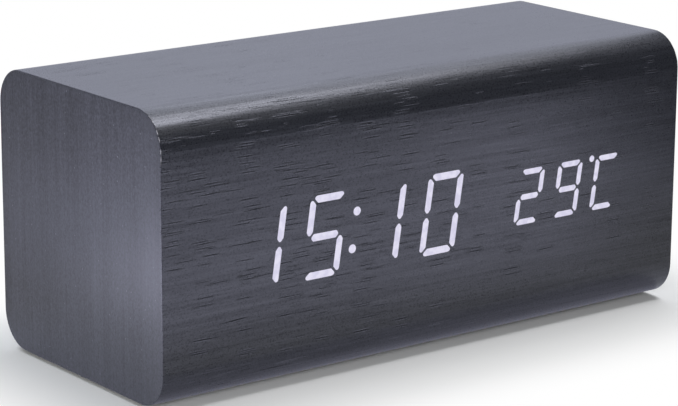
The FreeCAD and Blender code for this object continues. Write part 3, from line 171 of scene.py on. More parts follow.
# %% A finish and its patterns
class Finish(Nodes):
    """A material, and short words for its patterns."""

    def __init__(self, name, colour=(0.5, 0.5, 0.5, 1), roughness=0.5, **sockets):
        self.material = bpy.data.materials.new(name)
        self.material.use_nodes = True
        super().__init__(self.material.node_tree)
        self.shader = self.tree.nodes["Principled BSDF"]
        self.set(base_color=colour, roughness=roughness, **sockets)

    def set(self, **sockets):
        """Feeds the shader's sockets."""
        for name, value in sockets.items():
            self.feed(self.shader.inputs[name.replace("_", " ").title().replace("Ior", "IOR")], value)

    def show(self, shader):
        """Shows another shader in place of the Principled one, and doesn't aim light rays at it."""
        self.feed(self.tree.nodes["Material Output"].inputs[0], shader)
        self.material.cycles.emission_sampling = "NONE"

    def point(self):
        return self.node("TexCoord").outputs["Object"]

    def stretch(self, size_mm, point=None):
        """Object coordinates divided so that one unit of pattern is size_mm long in each direction."""
        inputs = {"Vector": point or self.point(), "Scale": [1 / (s * MM) for s in size_mm]}
        return self.out("Mapping", inputs)

    def noise(self, size_mm, detail=2, rough=0.5, point=None):
        inputs = {"Vector": self.stretch(size_mm, point), "Scale": 1, "Detail": detail, "Roughness": rough}
        return self.out("TexNoise", inputs)

    def cells(self, size_mm, point=None, randomness=1.0, **settings):
        """A pattern of cells: Distance from each one's middle, and a random Color for each."""
        inputs = {"Vector": self.stretch(size_mm, point), "Scale": 1, "Randomness": randomness}
        return self.node("TexVoronoi", inputs, **settings).outputs

    def ramp(self, value, low, high, to_low=0.0, to_high=1.0, smooth=True):
        """value between low and high becomes to_low to to_high, and stays there outside."""
        inputs = {"Value": value, "From Min": low, "From Max": high, "To Min": to_low, "To Max": to_high}
        kind = "SMOOTHSTEP" if smooth else "LINEAR"
        return self.out("MapRange", inputs, interpolation_type=kind)

    def spread(self, pattern, low, high):
        """Makes a noise pattern, which seldom leaves 0.3 to 0.7, run from low to high."""
        return self.ramp(pattern, 0.3, 0.7, low, high, smooth=False)

    def swing(self, pattern, amount):
        return self.spread(pattern, -amount, amount)

    def mix(self, share, a, b, blend="MIX"):
        """Colour a where share is 0, and b where it is 1."""
        return self.node("Mix", {0: share, 6: a, 7: b}, data_type="RGBA", blend_type=blend).outputs[2]

    def scaled(self, colour, share):
        """A colour times a number."""
        return self.mix(1.0, colour, self.vector(share, share, share), "MULTIPLY")

    def axis(self, name):
        """One of the Object coordinates x, y or z."""
        return self.parts(self.point())[name]

    def away_from(self, middle, name):
        """How far a point lies from a place on one axis, to either side."""
        place = self.axis(name)
        return self.math("ABSOLUTE", self.math("SUBTRACT", place, middle) if middle else place)

    def bump(self, height, depth_mm):
        """Bends the surface as if height 1 stood depth_mm proud."""
        inputs = {"Height": height, "Distance": depth_mm * MM}
        self.set(normal=self.out("Bump", inputs))
        return self


def dress(finish, *names):
    """Gives CAD nodes a finish by filling their material slots."""
    for name in names:
        for slot in nodes[name].material_slots:
            slot.material = finish.material
    print(finish.material.name, "on", ", ".join(names))

# %% [markdown]
# ## The studio
# A small dark object needs large soft lights, because a satin surface shows what stands round it.
# Softboxes above and behind light the clock and show in its gloss, and two at the left and in front only
# light it. Cards do the opposite, since only reflections see them. Tall pale cards behind give the top
# its sheen, black ones in front and at the sides keep the front face deep, and sheets on the floor give
# the front and the left end their soft grey. The floor is pale and carries the shadow, and further out it
# turns to plain white for the camera and for gloss.

# %% World
AMBIENT = 0.12        # the strength of the world as a light
WHITE = 1.0           # and as the background that the camera sees
GLOSS_WHITE = 0.42    # and as what a reflection sees


def seen_ray(tree):
    """1 for the rays that show the background, and 0 for those that carry soft light."""
    rays = tree.node("LightPath").outputs
    seen = (rays[f"Is {kind} Ray"] for kind in ("Camera", "Glossy", "Transmission"))
    return reduce(lambda a, b: tree.math("MAXIMUM", a, b), seen)


def background_strength(tree):
    """White for the camera, and dimmer in a satin reflection, as in a room behind a white sheet."""
    glossy = tree.node("LightPath").outputs["Is Glossy Ray"]
    return tree.out("MapRange", {"Value": glossy, "To Min": WHITE, "To Max": GLOSS_WHITE})


world = bpy.data.worlds.new("studio")
world.use_nodes = True
world.cycles.sampling_method = "NONE"
sky = Nodes(world.node_tree)
soft = sky.out("Background", {"Color": (0.92, 0.96, 1.0, 1), "Strength": AMBIENT})
white = sky.out("Background", {"Color": (1, 1, 1, 1), "Strength": background_strength(sky)})
sky.feed(sky.tree.nodes["World Output"].inputs[0], sky.choose(seen_ray(sky), soft, white))
bpy.context.scene.world = world
print("world nodes:", len(sky.tree.nodes))

# %% Floor
def sheet_object(name, corners, material):
    """A flat four-sided sheet as an object of its own."""
    mesh = bpy.data.meshes.new(name)
    mesh.from_pydata(corners, [], [(0, 1, 2, 3)])
    mesh.materials.append(material)
    made = bpy.data.objects.new(name, mesh)
    bpy.context.scene.collection.objects.link(made)
    made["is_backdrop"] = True
    return made


PALE_FLOOR = (0.92, 0.92, 0.92, 1)
SEEN_FLOOR = (1.0, 0.985, 0.86, 1)   # for the camera alone, so that the cool lamps leave a neutral shadow
FLOOR, FADE = 6.0, 38 * MM           # the floor's half width, and where it has turned white, in metres
ground = Finish("studio_floor", roughness=0.9)
camera_ray = ground.node("LightPath").outputs["Is Camera Ray"]
ground.set(base_color=ground.mix(camera_ray, PALE_FLOOR, SEEN_FLOOR))
squares = []
for name, half in (("X", cad_high.x), ("Y", cad_high.y)):
    outside = ground.math("MAXIMUM", ground.math("SUBTRACT", ground.away_from(0, name), half), 0)
    squares.append(ground.times(outside, outside))
far = ground.ramp(ground.math("SQRT", ground.total(*squares)), 0.0, FADE)
glow = ground.out("Emission", {"Strength": background_strength(ground)})
lit_floor = ground.choose(ground.times(far, seen_ray(ground)), ground.shader.outputs[0], glow)
behind = ground.node("NewGeometry").outputs["Backfacing"]
ground.show(ground.choose(behind, lit_floor, ground.out("BsdfTransparent")))
square = (-1, -1), (1, -1), (1, 1), (-1, 1)
sheet_object("floor", [(x * FLOOR, y * FLOOR, 0) for x, y in square], ground.material)
print("floor of", 2 * FLOOR, "m")

# %% Softboxes
CLOCK = (0, 0, 0.035)
COOL, COOLER = (0.91, 0.93, 1.08), (0.87, 0.92, 1.13)


def softbox(name, centre, width, height, radiance, colour, in_gloss=True):
    """A rectangular light aimed at the clock. Radiance 1 looks as bright as white paper."""
    lamp = bpy.data.lights.new(name, "AREA")
    lamp.shape = "RECTANGLE"
    lamp.size, lamp.size_y = width, height
    lamp.energy = radiance * math.pi * width * height
    lamp.color = colour
    made = bpy.data.objects.new(name, lamp)
    made.location = centre
    made.rotation_euler = (Vector(CLOCK) - Vector(centre)).to_track_quat("-Z", "Y").to_euler()
    made.visible_camera = False
    made.visible_glossy = in_gloss
    bpy.context.scene.collection.objects.link(made)


# Name, centre, width, height, radiance and colour.
softbox("softbox_key", (0.25, -0.20, 0.70), 0.15, 0.20, 18.6, COOL)
softbox("softbox_key_edge", (0.38, 0.00, 0.70), 0.15, 0.20, 6.8, COOL)
softbox("softbox_top", (-0.20, 0.35, 0.70), 0.40, 0.30, 5.2, COOLER)
softbox("softbox_back", (0.30, 0.60, 0.70), 0.60, 0.30, 2.0, COOLER)
softbox("softbox_back_edge", (0.48, 0.25, 0.70), 0.25, 0.30, 1.8, COOLER)
softbox("softbox_far", (0.75, 0.75, 0.55), 0.60, 0.50, 1.0, COOLER)
softbox("softbox_left", (-0.45, -0.45, 0.15), 0.40, 0.30, 9.0, COOL, in_gloss=False)
softbox("softbox_front", (0.10, -0.90, 0.35), 0.60, 0.50, 0.5, COOL, in_gloss=False)

# %% Cards
CARD_COLOUR = (0.870, 0.905, 1.095, 1)
BLUER_CARD = (0.875, 0.887, 1.125, 1)


def card(name, brightness, *corners, colour=CARD_COLOUR):
    """A card that only reflections see. Brightness 0 is black velvet and 1 is white paper."""
    finish = Finish(name)
    finish.show(finish.out("Emission", {"Color": colour, "Strength": brightness}))
    made = sheet_object(name, corners, finish.material)
    made.visible_camera = made.visible_diffuse = made.visible_shadow = made.visible_transmission = False


def upright_card(name, brightness, start, end, height):
    """A card that stands on the floor between two places."""
    card(name, brightness, (*start, 0), (*end, 0), (*end, height), (*start, height))


def lying_card(name, brightness, low, high):
    """A card that lies on the floor."""
    corners = (*low, MM), (high[0], low[1], MM), (*high, MM), (low[0], high[1], MM)
    card(name, brightness, *corners, colour=BLUER_CARD)


# The black ones and the tall pale ones, then the sheets on the floor. All sizes are in metres.
upright_card("front_card", 0.0, (-0.22, -0.212), (0.165, -0.212), 0.20)
card("right_card", 0.0, (0.165, -0.212, 0), (0.165, 0.09, 0), (0.165, 0.03, 0.158), (0.165, -0.212, 0.35))
upright_card("left_card", 0.0, (-0.22, -0.212), (-0.22, 0.40), 0.25)
upright_card("grey_card", 0.78, (-0.3, 0.601), (1.3, 0.601), 0.62)
card("upper_card_left", 1.40, (-0.3, 0.6, 0.29), (0.47, 0.6, 0.29), (0.47, 0.6, 0.60), (-0.3, 0.6, 0.60))
card("upper_card", 1.12, (0.47, 0.6, 0.29), (1.3, 0.6, 0.29), (1.3, 0.6, 0.60), (0.47, 0.6, 0.60))
lying_card("front_sheet", 1.60, (-0.14, -0.207), (0.10, -0.073))
lying_card("right_sheet", 5.8, (0.122, -0.205), (0.165, -0.156))
lying_card("right_sheet_back", 1.45, (0.10, -0.156), (0.165, -0.103))
lying_card("foot_sheet", 0.45, (-0.075, -0.046), (0.075, -0.024))
lying_card("left_sheet", 5.8, (-0.205, -0.10), (-0.125, 0.068))
lying_card("left_sheet_back", 1.2, (-0.212, 0.068), (-0.125, 0.155))

# %% [markdown]
# ## Black-stained veneer
# The case is wrapped in one sheet of open-pored wood, stained black and given a satin lacquer. Three
# things make it wood: short open pores that run along the grain, long faint streaks, and a fine
# mottle in the lacquer. A pore is a spindle-shaped groove a few millimetres long and a fifth of a
# millimetre high, dark with stain and with painted shade. The lacquer stands proud along both sides
# of it as a lip, painted paler as a highlight. A Voronoi pattern that is stretched along the grain
# gives such spindles, and because it is solid, it runs round the curved edges without stretching. A
# lip is the same pattern again, shifted a little across the grain.

# %% The grain's direction
CASE_MIDDLE = 33.55 * MM                # its height over the floor
CASE_HALVES = {"Z": 32.75, "Y": 32.5}   # half the height and half the depth, in mm
WAVE = 1.4 * MM                         # how far the grain wanders across itself


def along_x(along, across):
    return along, across, across


def along_z(along, across):
    return across, across, along


wrap = Finish("black_veneer_wrap", ior=1.6)
wave = wrap.times(wrap.math("SUBTRACT", wrap.noise(along_x(46, 9), detail=1), 0.5), WAVE)
upright_face = wrap.ramp(wrap.away_from(CASE_MIDDLE, "Z"), 25 * MM, 32 * MM, 1, 0)
level_face = wrap.math("SUBTRACT", 1.0, upright_face)


def grain_point(raised=0.0):
    """Object coordinates that wander across the grain within each face, and may be raised across it."""
    across = wrap.total(wave, raised)
    shift = wrap.vector(0.0, wrap.times(across, level_face), wrap.times(across, upright_face))
    return wrap.out("VectorMath", {0: wrap.point(), 1: shift}, operation="ADD")


print("grain waves by up to", WAVE / MM / 2, "mm")

# %% Pores and their lips
LIP = 0.27 * MM     # how far a lip lies from its pore
PORE_LAYERS = (along_x(22, 0.36), 0.95), (along_x(11, 0.31), 0.50)   # cells in mm, and the share with a pore

# Pores crowd at the left and thin out to the right, with fewer along the foot of the front and on top.
density = wrap.times(
    wrap.ramp(wrap.noise(along_x(26, 5)), 0.38, 0.62, 0.45, 1.1),
    wrap.ramp(wrap.axis("X"), -65 * MM, 65 * MM, 1.10, 0.15),
    wrap.ramp(wrap.axis("Z"), 18 * MM, 26 * MM, 0.38, 1.0),
    wrap.ramp(wrap.axis("Z"), 63.8 * MM, 65.4 * MM, 1.0, 0.2),
)


def pores_at(point):
    """Spindles from 1 to 8 mm long, 1 in their middle. A cell holds one if its random number is low."""
    layers = []
    for size, share in PORE_LAYERS:
        cell = wrap.cells(size, point)
        chance = wrap.parts(cell["Color"])
        slimmer = wrap.times(cell["Distance"], wrap.ramp(chance["Y"], 0, 1, 0.85, 1.7, smooth=False))
        there = wrap.math("LESS_THAN", chance["X"], wrap.times(density, share))
        layers.append(wrap.times(wrap.ramp(slimmer, 0.14, 0.26, 1, 0), there))
    return wrap.math("MAXIMUM", *layers)


pores = pores_at(grain_point())
lips = wrap.math("MAXIMUM", pores_at(grain_point(LIP)), pores_at(grain_point(-LIP)))
lips = wrap.times(lips, wrap.math("SUBTRACT", 1.0, pores))
print("nodes after the pores:", len(wrap.tree.nodes))

# %% Stain and the cut edge
STAIN = (0.0168, 0.0176, 0.0198, 1)
# The ends are lighter than the wrap: a lighter stain of their own, with painted light on top of it.
END_STAIN_AND_LIGHT = (0.0480, 0.0488, 0.0565, 1)
# Pores are painted darker: stain that gathers in them, and painted shade in the groove.
PORE_STAIN_AND_SHADE = (0.003, 0.003, 0.004, 1)
# Lips are painted paler: a painted highlight where the raised lacquer catches the light.
LIP_HIGHLIGHT = (0.052, 0.053, 0.060, 1)
# The cut edge's rounded corner: a dark line of stain with painted shade.
CORNER_STAIN_AND_SHADE = (0.012, 0.012, 0.016, 1)
# Pale painted glints on that corner, high up at the front.
CORNER_GLINT = (0.30, 0.29, 0.28, 1)

streak = wrap.noise(along_x(60, 1.1), detail=3, rough=0.6, point=grain_point())
thread = wrap.noise(along_x(18, 0.34), detail=1, point=grain_point())
speck = wrap.noise((0.42, 0.32, 0.32), rough=0.7)
shade = wrap.total(1.0, wrap.swing(streak, 0.16), wrap.swing(thread, 0.12), wrap.swing(speck, 0.08))
stained = wrap.scaled(STAIN, shade)
# The pores, darkened with stain and painted shade.
stained = wrap.mix(wrap.times(pores, 0.90), stained, PORE_STAIN_AND_SHADE)
# The painted highlight on the lips.
stained = wrap.mix(wrap.times(lips, 0.85), stained, LIP_HIGHLIGHT)

# The sheet's cut edge shows as a ring round the end, in the end's colour. Its rounded corner is a dark
# line of stain with painted shade, and high up at the front it carries pale painted glints.
from_centre = wrap.away_from(0, "X")
ring = wrap.ramp(from_centre, 74.90 * MM, 74.96 * MM)
corner = wrap.ramp(from_centre, 74.74 * MM, 74.80 * MM)
# Where the painted glints lie: specks high on the front corner.
glint_patch = wrap.times(
    wrap.ramp(wrap.axis("Y"), -31.5 * MM, -25 * MM, 1, 0),
    wrap.ramp(wrap.axis("Z"), 50 * MM, 58 * MM),
    wrap.ramp(wrap.noise((1.6, 1.6, 1.6)), 0.42, 0.60),
)
stained = wrap.mix(corner, stained, wrap.mix(glint_patch, CORNER_STAIN_AND_SHADE, CORNER_GLINT))
wrap.set(base_color=wrap.mix(ring, stained, END_STAIN_AND_LIGHT))
print("nodes after the stain:", len(wrap.tree.nodes))

# %% Lacquer and relief
EDGE_RADIUS, SANDED_MM, CROWN_MM = 8.5, -0.2, -0.35

# The lacquer swings in gloss with the grain. It is dull in the pores and shines on their lips.
wrap.set(roughness=wrap.spread(speck, 0.25, 0.37))
lacquer = wrap.total(0.5, wrap.swing(streak, 0.05), wrap.swing(thread, 0.07), wrap.swing(speck, 0.18))
dull_pores, bright_lips = wrap.ramp(pores, 0.2, 1.0, 1.0, 0.35), wrap.ramp(lips, 0.0, 1.0, 1.0, 1.45)
wrap.set(specular_ior_level=wrap.times(lacquer, dull_pores, bright_lips))

# The relief, in mm. Sanding eases the flat faces into the rounded edges and leaves the top a slight crown.
relief = [
    wrap.times(pattern, height)
    for pattern, height in ((speck, 0.008), (streak, 0.002), (thread, 0.0015), (pores, -0.10), (lips, 0.02))
]
for name, middle in (("Z", CASE_MIDDLE), ("Y", 0)):
    tangent = (CASE_HALVES[name] - EDGE_RADIUS) * MM
    eased = wrap.ramp(wrap.away_from(middle, name), tangent - 4 * MM, tangent + 5 * MM, 0, SANDED_MM)
    relief.append(eased)
relief.append(wrap.ramp(wrap.away_from(0, "Y"), 0, 26 * MM, 0, CROWN_MM))
wrap.bump(wrap.total(*relief), 1.0)
dress(wrap, "wrap_veneer")

# %% The ends' finish
END_DUST = (0.22, 0.22, 0.24, 1)

end = Finish("black_veneer_end", ior=1.6)
thread = end.noise(along_z(40, 0.55), rough=0.6)
broad = end.noise(along_z(80, 3))
speck = end.noise((0.42, 0.42, 0.55), rough=0.7)
dust = end.ramp(end.cells((2.4, 2.4, 2.4))["Distance"], 0.055, 0.075, 1, 0)
shade = end.total(1.0, end.swing(thread, 0.17), end.swing(broad, 0.13), end.swing(speck, 0.50))
# The ends' colour is their stain, with painted light in it.
end.set(base_color=end.mix(end.times(dust, 0.5), end.scaled(END_STAIN_AND_LIGHT, shade), END_DUST))
end.set(roughness=end.spread(speck, 0.31, 0.43))
end.bump(end.total(end.times(speck, 0.022), end.times(thread, 0.010)), 1.0)
dress(end, "left_end_veneer", "right_end_veneer")

# %% [markdown]
# ## The digits
# Every digit has seven bars. Those that are on shine through the veneer, a little unevenly. Those that
# are off sit behind it as milky plastic, and the dark block round them keeps the light of one bar out of
# the next. A glowing colour just under white keeps its cool tint, where a stronger one would clip.

# %% Lit bars
GLOW = 0.80
lit = Finish("lit_bars", roughness=0.6)
bar_mottle = lit.noise((1.4, 1.4, 1.4))
lit_colour = lit.mix(lit.ramp(bar_mottle, 0.35, 0.65), paint(214, 210, 234), paint(232, 228, 247))
lit.set(base_color=(0.1, 0.1, 0.1, 1), emission_color=lit_colour, emission_strength=GLOW)
dress(lit, "time_bars_lit", "colon_dots", "temperature_bars_lit", "degree_dot")

# %% Diffusers and light mask
def moulded(name, colour, roughness, texture_mm=0.35, relief_mm=0.008, cloud=0.18, **sockets):
    """Moulded plastic: the mould's fine texture, and a slow change of shade."""
    made = Finish(name, colour, roughness, **sockets)
    texture = made.noise((texture_mm,) * 3, detail=3, rough=0.6)
    made.set(base_color=made.scaled(colour, made.spread(made.noise((11, 11, 11)), 1 - cloud, 1 + cloud)))
    made.set(roughness=made.spread(texture, roughness - 0.06, roughness + 0.08))
    return made.bump(texture, relief_mm)


dress(moulded("unlit_bars", paint(170, 172, 176), 0.45), "time_bars_unlit", "temperature_bars_unlit")
dress(moulded("light_mask_plastic", paint(20, 20, 22), 0.6, 0.5, 0.015), "light_mask")

# %% [markdown]
# ## Raw wood under the veneer
# The tube and its ends are fibreboard: brown, matt, with short fibres in every direction. The two
# battens that the back panel is screwed to are pine, whose growth rings show as long pale and dark lines.

# %% Fibreboard and pine
board = Finish("fibreboard", roughness=0.85)
fibre = board.noise((1.6, 0.35, 0.5), detail=3, rough=0.7)
flakes = board.ramp(board.cells((2.2, 0.7, 1.1))["Distance"], 0.05, 0.22, 1, 0)
brown = board.mix(board.ramp(fibre, 0.3, 0.7), paint(128, 97, 66), paint(176, 143, 104))
raw = board.mix(board.times(flakes, 0.5), brown, paint(92, 66, 44))
rim = board.ramp(board.axis("Y"), 26.2 * MM, 27.5 * MM)      # round the back panel the board is stained too
stained = board.scaled((0.020, 0.019, 0.020, 1), board.total(1.0, board.swing(fibre, 0.3)))
board.set(base_color=board.mix(rim, raw, stained))
board.bump(fibre, 0.05)
dress(board, "case_core", "left_end_board", "right_end_board")

pine = Finish("pine", roughness=0.6)
rings = pine.math("PINGPONG", pine.times(pine.noise((7, 7, 130), detail=1), 9.0), 0.5)
late = pine.ramp(rings, 0.30, 0.48)
fine = pine.noise((0.3, 0.3, 9))
wood = pine.mix(late, paint(222, 190, 140), paint(184, 138, 84))
pine.set(base_color=pine.mix(pine.ramp(fine, 0.4, 0.7, 0, 0.35), wood, paint(160, 118, 72)))
pine.bump(pine.total(pine.times(late, 0.4), fine), 0.05)
dress(pine, "left_screw_batten", "right_screw_batten")

# %% [markdown]
# ## Moulded plastics
# The back panel and its door are black ABS with the even, fine texture that a sparked mould leaves. The
# buttons come from a smoother mould. Small parts inside each have their own plastic.

# %% Plastics
panel = moulded("panel_abs", paint(33, 33, 36), 0.48, 0.30, 0.020, 0.10)
dress(panel, "rear_panel", "battery_door", "battery_door_latch")
button = moulded("button_abs", paint(22, 22, 24), 0.32, 0.22, 0.004, 0.08)
dress(button, "set_button", "up_button", "down_button")
plunger = moulded("plunger", paint(150, 34, 30), 0.4)
dress(plunger, "set_switch_plunger", "up_switch_plunger", "down_switch_plunger")
dress(moulded("switch_housing", paint(24, 24, 26), 0.5), "switch_housings")
dress(moulded("inlet_moulding", paint(16, 16, 17), 0.35, 0.25, 0.006), "power_inlet_body")
dress(moulded("buzzer_case", paint(18, 18, 20), 0.42), "buzzer")
dress(moulded("cell_holder_moulding", paint(30, 31, 34), 0.5), "backup_cell_holder")
dress(moulded("sensor_bead", paint(20, 22, 26), 0.15, 0.8, 0.004), "temperature_sensor")
header_plastic = moulded("plug_plastic", paint(228, 222, 206), 0.4)
dress(moulded("red_lead_sleeve", paint(176, 26, 24), 0.4, 0.6, 0.01), "battery_lead_red")
dress(moulded("black_lead_sleeve", paint(22, 22, 23), 0.4, 0.6, 0.01), "battery_lead_black")

# %% [markdown]
# ## Metals
# Each metal part is bright, but not a mirror: plating has faint scratches and a slow change of tone. The
# scratches are noise that is stretched forty to a hundred times in one direction. The capacitor is an
# aluminium can in a film sleeve with a pale stripe, and its bare top is scored with a cross as a vent.

# %% Metals
def plated(name, colour, roughness, scratch=(6, 0.06, 0.06), tone=None):
    """Plated metal: fine scratches, and a slow change from one tone to another."""
    made = Finish(name, colour, roughness, metallic=1.0)
    fine = made.noise(scratch)
    cloud = made.noise((3, 3, 3))
    made.set(base_color=made.mix(made.ramp(cloud, 0.35, 0.65), colour, tone or colour))
    made.set(roughness=made.spread(fine, roughness - 0.08, roughness + 0.14))
    return made.bump(fine, 0.004)


zinc = plated("zinc_plate", paint(196, 198, 202), 0.32, (0.08, 3, 0.08), paint(176, 180, 190))
nickel = plated("nickel_plate", paint(206, 202, 192), 0.24, tone=paint(188, 184, 176))
dress(nickel, "contact_plates", "power_inlet_pin")
can = plated("steel_can", paint(198, 200, 204), 0.30, (0.1, 4, 0.1), paint(184, 187, 192))
dress(can, "backup_cell", "quartz_crystal", "microphone")

# %% Capacitor sleeve
sleeve = Finish("capacitor_film", roughness=0.35)
stripe = sleeve.ramp(sleeve.axis("X"), 49.0 * MM, 49.1 * MM)
sides = sleeve.mix(stripe, paint(24, 26, 40), paint(198, 200, 205))
low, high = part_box("smoothing_capacitor")
top = sleeve.ramp(sleeve.axis("Y"), low.y + 0.35 * MM, low.y + 0.45 * MM, 1, 0)
sleeve.set(base_color=sleeve.mix(top, sides, paint(190, 192, 196)), metallic=top)
middle = (low + high) / 2
score = sleeve.math("MINIMUM", sleeve.away_from(middle.x, "X"), sleeve.away_from(middle.z, "Z"))
vent = sleeve.ramp(score, 0.08 * MM, 0.22 * MM)
sleeve.bump(sleeve.times(vent, top), 0.15)
dress(sleeve, "smoothing_capacitor")

# %% [markdown]
# ## Circuit boards
# A board is glass fibre under a green lacquer. Copper traces below the lacquer show as lighter lines that
# run straight along the board or across it, with round plated holes among them. A block pattern decides
# for each patch whether its traces lie along or across, or whether it has none.

# %% Circuit board
PITCH = 1.27    # the distance between traces and between a chip's legs, in mm
pcb = Finish("green_circuit_board", roughness=0.3)


def lines(axis):
    """1 on thin lines at equal distances along an axis."""
    place = pcb.math("FRACT", pcb.math("DIVIDE", pcb.axis(axis), PITCH * MM))
    return pcb.math("LESS_THAN", pcb.math("ABSOLUTE", pcb.math("SUBTRACT", place, 0.5)), 0.12)


choice = pcb.parts(pcb.cells((9, 60, 7), distance="CHEBYCHEV")["Color"])
across = pcb.math("LESS_THAN", choice["X"], 0.5)
drawn = pcb.math("LESS_THAN", choice["Y"], 0.7)
trace = pcb.out("Mix", {0: across, 2: lines("X"), 3: lines("Z")}, data_type="FLOAT")
trace = pcb.times(trace, drawn)
grid = pcb.cells((4 * PITCH, 60, 4 * PITCH), randomness=0.35)
hole = pcb.ramp(grid["Distance"], 0.085, 0.095, 1, 0)
lacquer = pcb.mix(trace, paint(12, 66, 42), paint(28, 104, 66))
pcb.set(base_color=pcb.mix(hole, lacquer, paint(206, 178, 104)), metallic=pcb.times(hole, 0.8))
pcb.bump(pcb.total(trace, hole), 0.04)
dress(pcb, "main_board", "display_board")

# %% [markdown]
# ## Shapes turned on a lathe, and where they go
# Feet, cells and screws are round, so each starts as a profile that is spun about an axis. The CAD nodes
# say where they go: a node may hold several separate solids, and the box of each gives its place. That
# keeps the new pieces in step with the CAD model.

# %% The solids of a CAD node
def solids_in(name):
    """The lowest and highest corner of each separate solid of a CAD node."""
    form = bmesh.new()
    form.from_mesh(nodes[name].data)
    bmesh.ops.remove_doubles(form, verts=form.verts, dist=0.001 * MM)
    left, boxes = set(form.verts), []
    while left:
        group, edge = set(), {left.pop()}
        while edge:
            group |= edge
            edge = {e.other_vert(v) for v in edge for e in v.link_edges} - group
        left -= group
        points = np.array([v.co for v in group])
        boxes.append((Vector(points.min(0)), Vector(points.max(0))))
    form.free()
    return sorted(boxes, key=lambda box: tuple(box[0]))


print("separate time_leds:", len(solids_in("time_leds")))

# %% Lathe, block and fit
def lathe(name, profile, finishes, steps=32):
    """Spins a profile of (radius, height, finish number) in mm about z. A radius of 0 closes an end."""
    form = bmesh.new()
    turns = [2 * math.pi * n / steps for n in range(steps)]
    rings = []
    for radius, height, _ in profile:
        if radius == 0:
            rings.append([form.verts.new((0, 0, height * MM))] * steps)
            continue
        circle = [(radius * MM * math.cos(a), radius * MM * math.sin(a), height * MM) for a in turns]
        rings.append([form.verts.new(place) for place in circle])
    for (below, above), (_, _, finish) in zip(zip(rings, rings[1:]), profile[1:]):
        for n in range(steps):
            m = (n + 1) % steps
            face = form.faces.new(dict.fromkeys((below[n], below[m], above[m], above[n])))
            face.material_index = finish
            face.smooth = True
    bmesh.ops.recalc_face_normals(form, faces=form.faces)
    return as_object(name, form, finishes)


def as_object(name, form, finishes):
    """Turns a bmesh into an object with its finishes, and frees the bmesh."""
    mesh = bpy.data.meshes.new(name)
    form.to_mesh(mesh)
    form.free()
    for finish in finishes:
        mesh.materials.append(finish.material)
    made = bpy.data.objects.new(name, mesh)
    bpy.context.scene.collection.objects.link(made)
    return made


def block(form, low, high, edge_mm):
    """Adds a box with rounded edges to a bmesh."""
    box = bmesh.new()
    bmesh.ops.create_cube(box, size=1)
    spread, centre = Vector(high) - Vector(low), (Vector(high) + Vector(low)) / 2
    place = Matrix.Translation(centre) @ Matrix.Diagonal((*spread, 1))
    bmesh.ops.transform(box, verts=box.verts, matrix=place)
    bmesh.ops.bevel(box, geom=box.edges, offset=edge_mm * MM, segments=2, affect="EDGES", profile=0.5)
    mesh = bpy.data.meshes.new("block")
    box.to_mesh(mesh)
    box.free()
    form.from_mesh(mesh)
    bpy.data.meshes.remove(mesh)


def applied(made, modifier):
    """Keeps what a modifier makes as the object's own mesh, and removes the modifier."""
    mesh = bpy.data.meshes.new_from_object(made.evaluated_get(bpy.context.evaluated_depsgraph_get()))
    made.modifiers.remove(modifier)
    made.data = mesh


def fit(piece, replaced):
    """Puts a finished piece on the case, in place of the CAD node it stands for."""
    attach(piece, "case")
    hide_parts(replaced)
    print(piece.name, "faces:", len(piece.data.polygons))

# %% [markdown]
# ## A short language for Geometry Nodes
# What repeats is placed by Geometry Nodes: screws, light-emitting chips, legs, springs and feet. Each tree
# takes a cloud of points and named sizes. `Grower` builds a tree, runs it once as a modifier and keeps the
# result as a plain mesh, so that nothing depends on the tree afterwards.

# %% A grower of repeated pieces
SOCKET_KINDS = {
    float: "Float", int: "Int", tuple: "Vector", bpy.types.Object: "Object", bpy.types.Material: "Material",
}


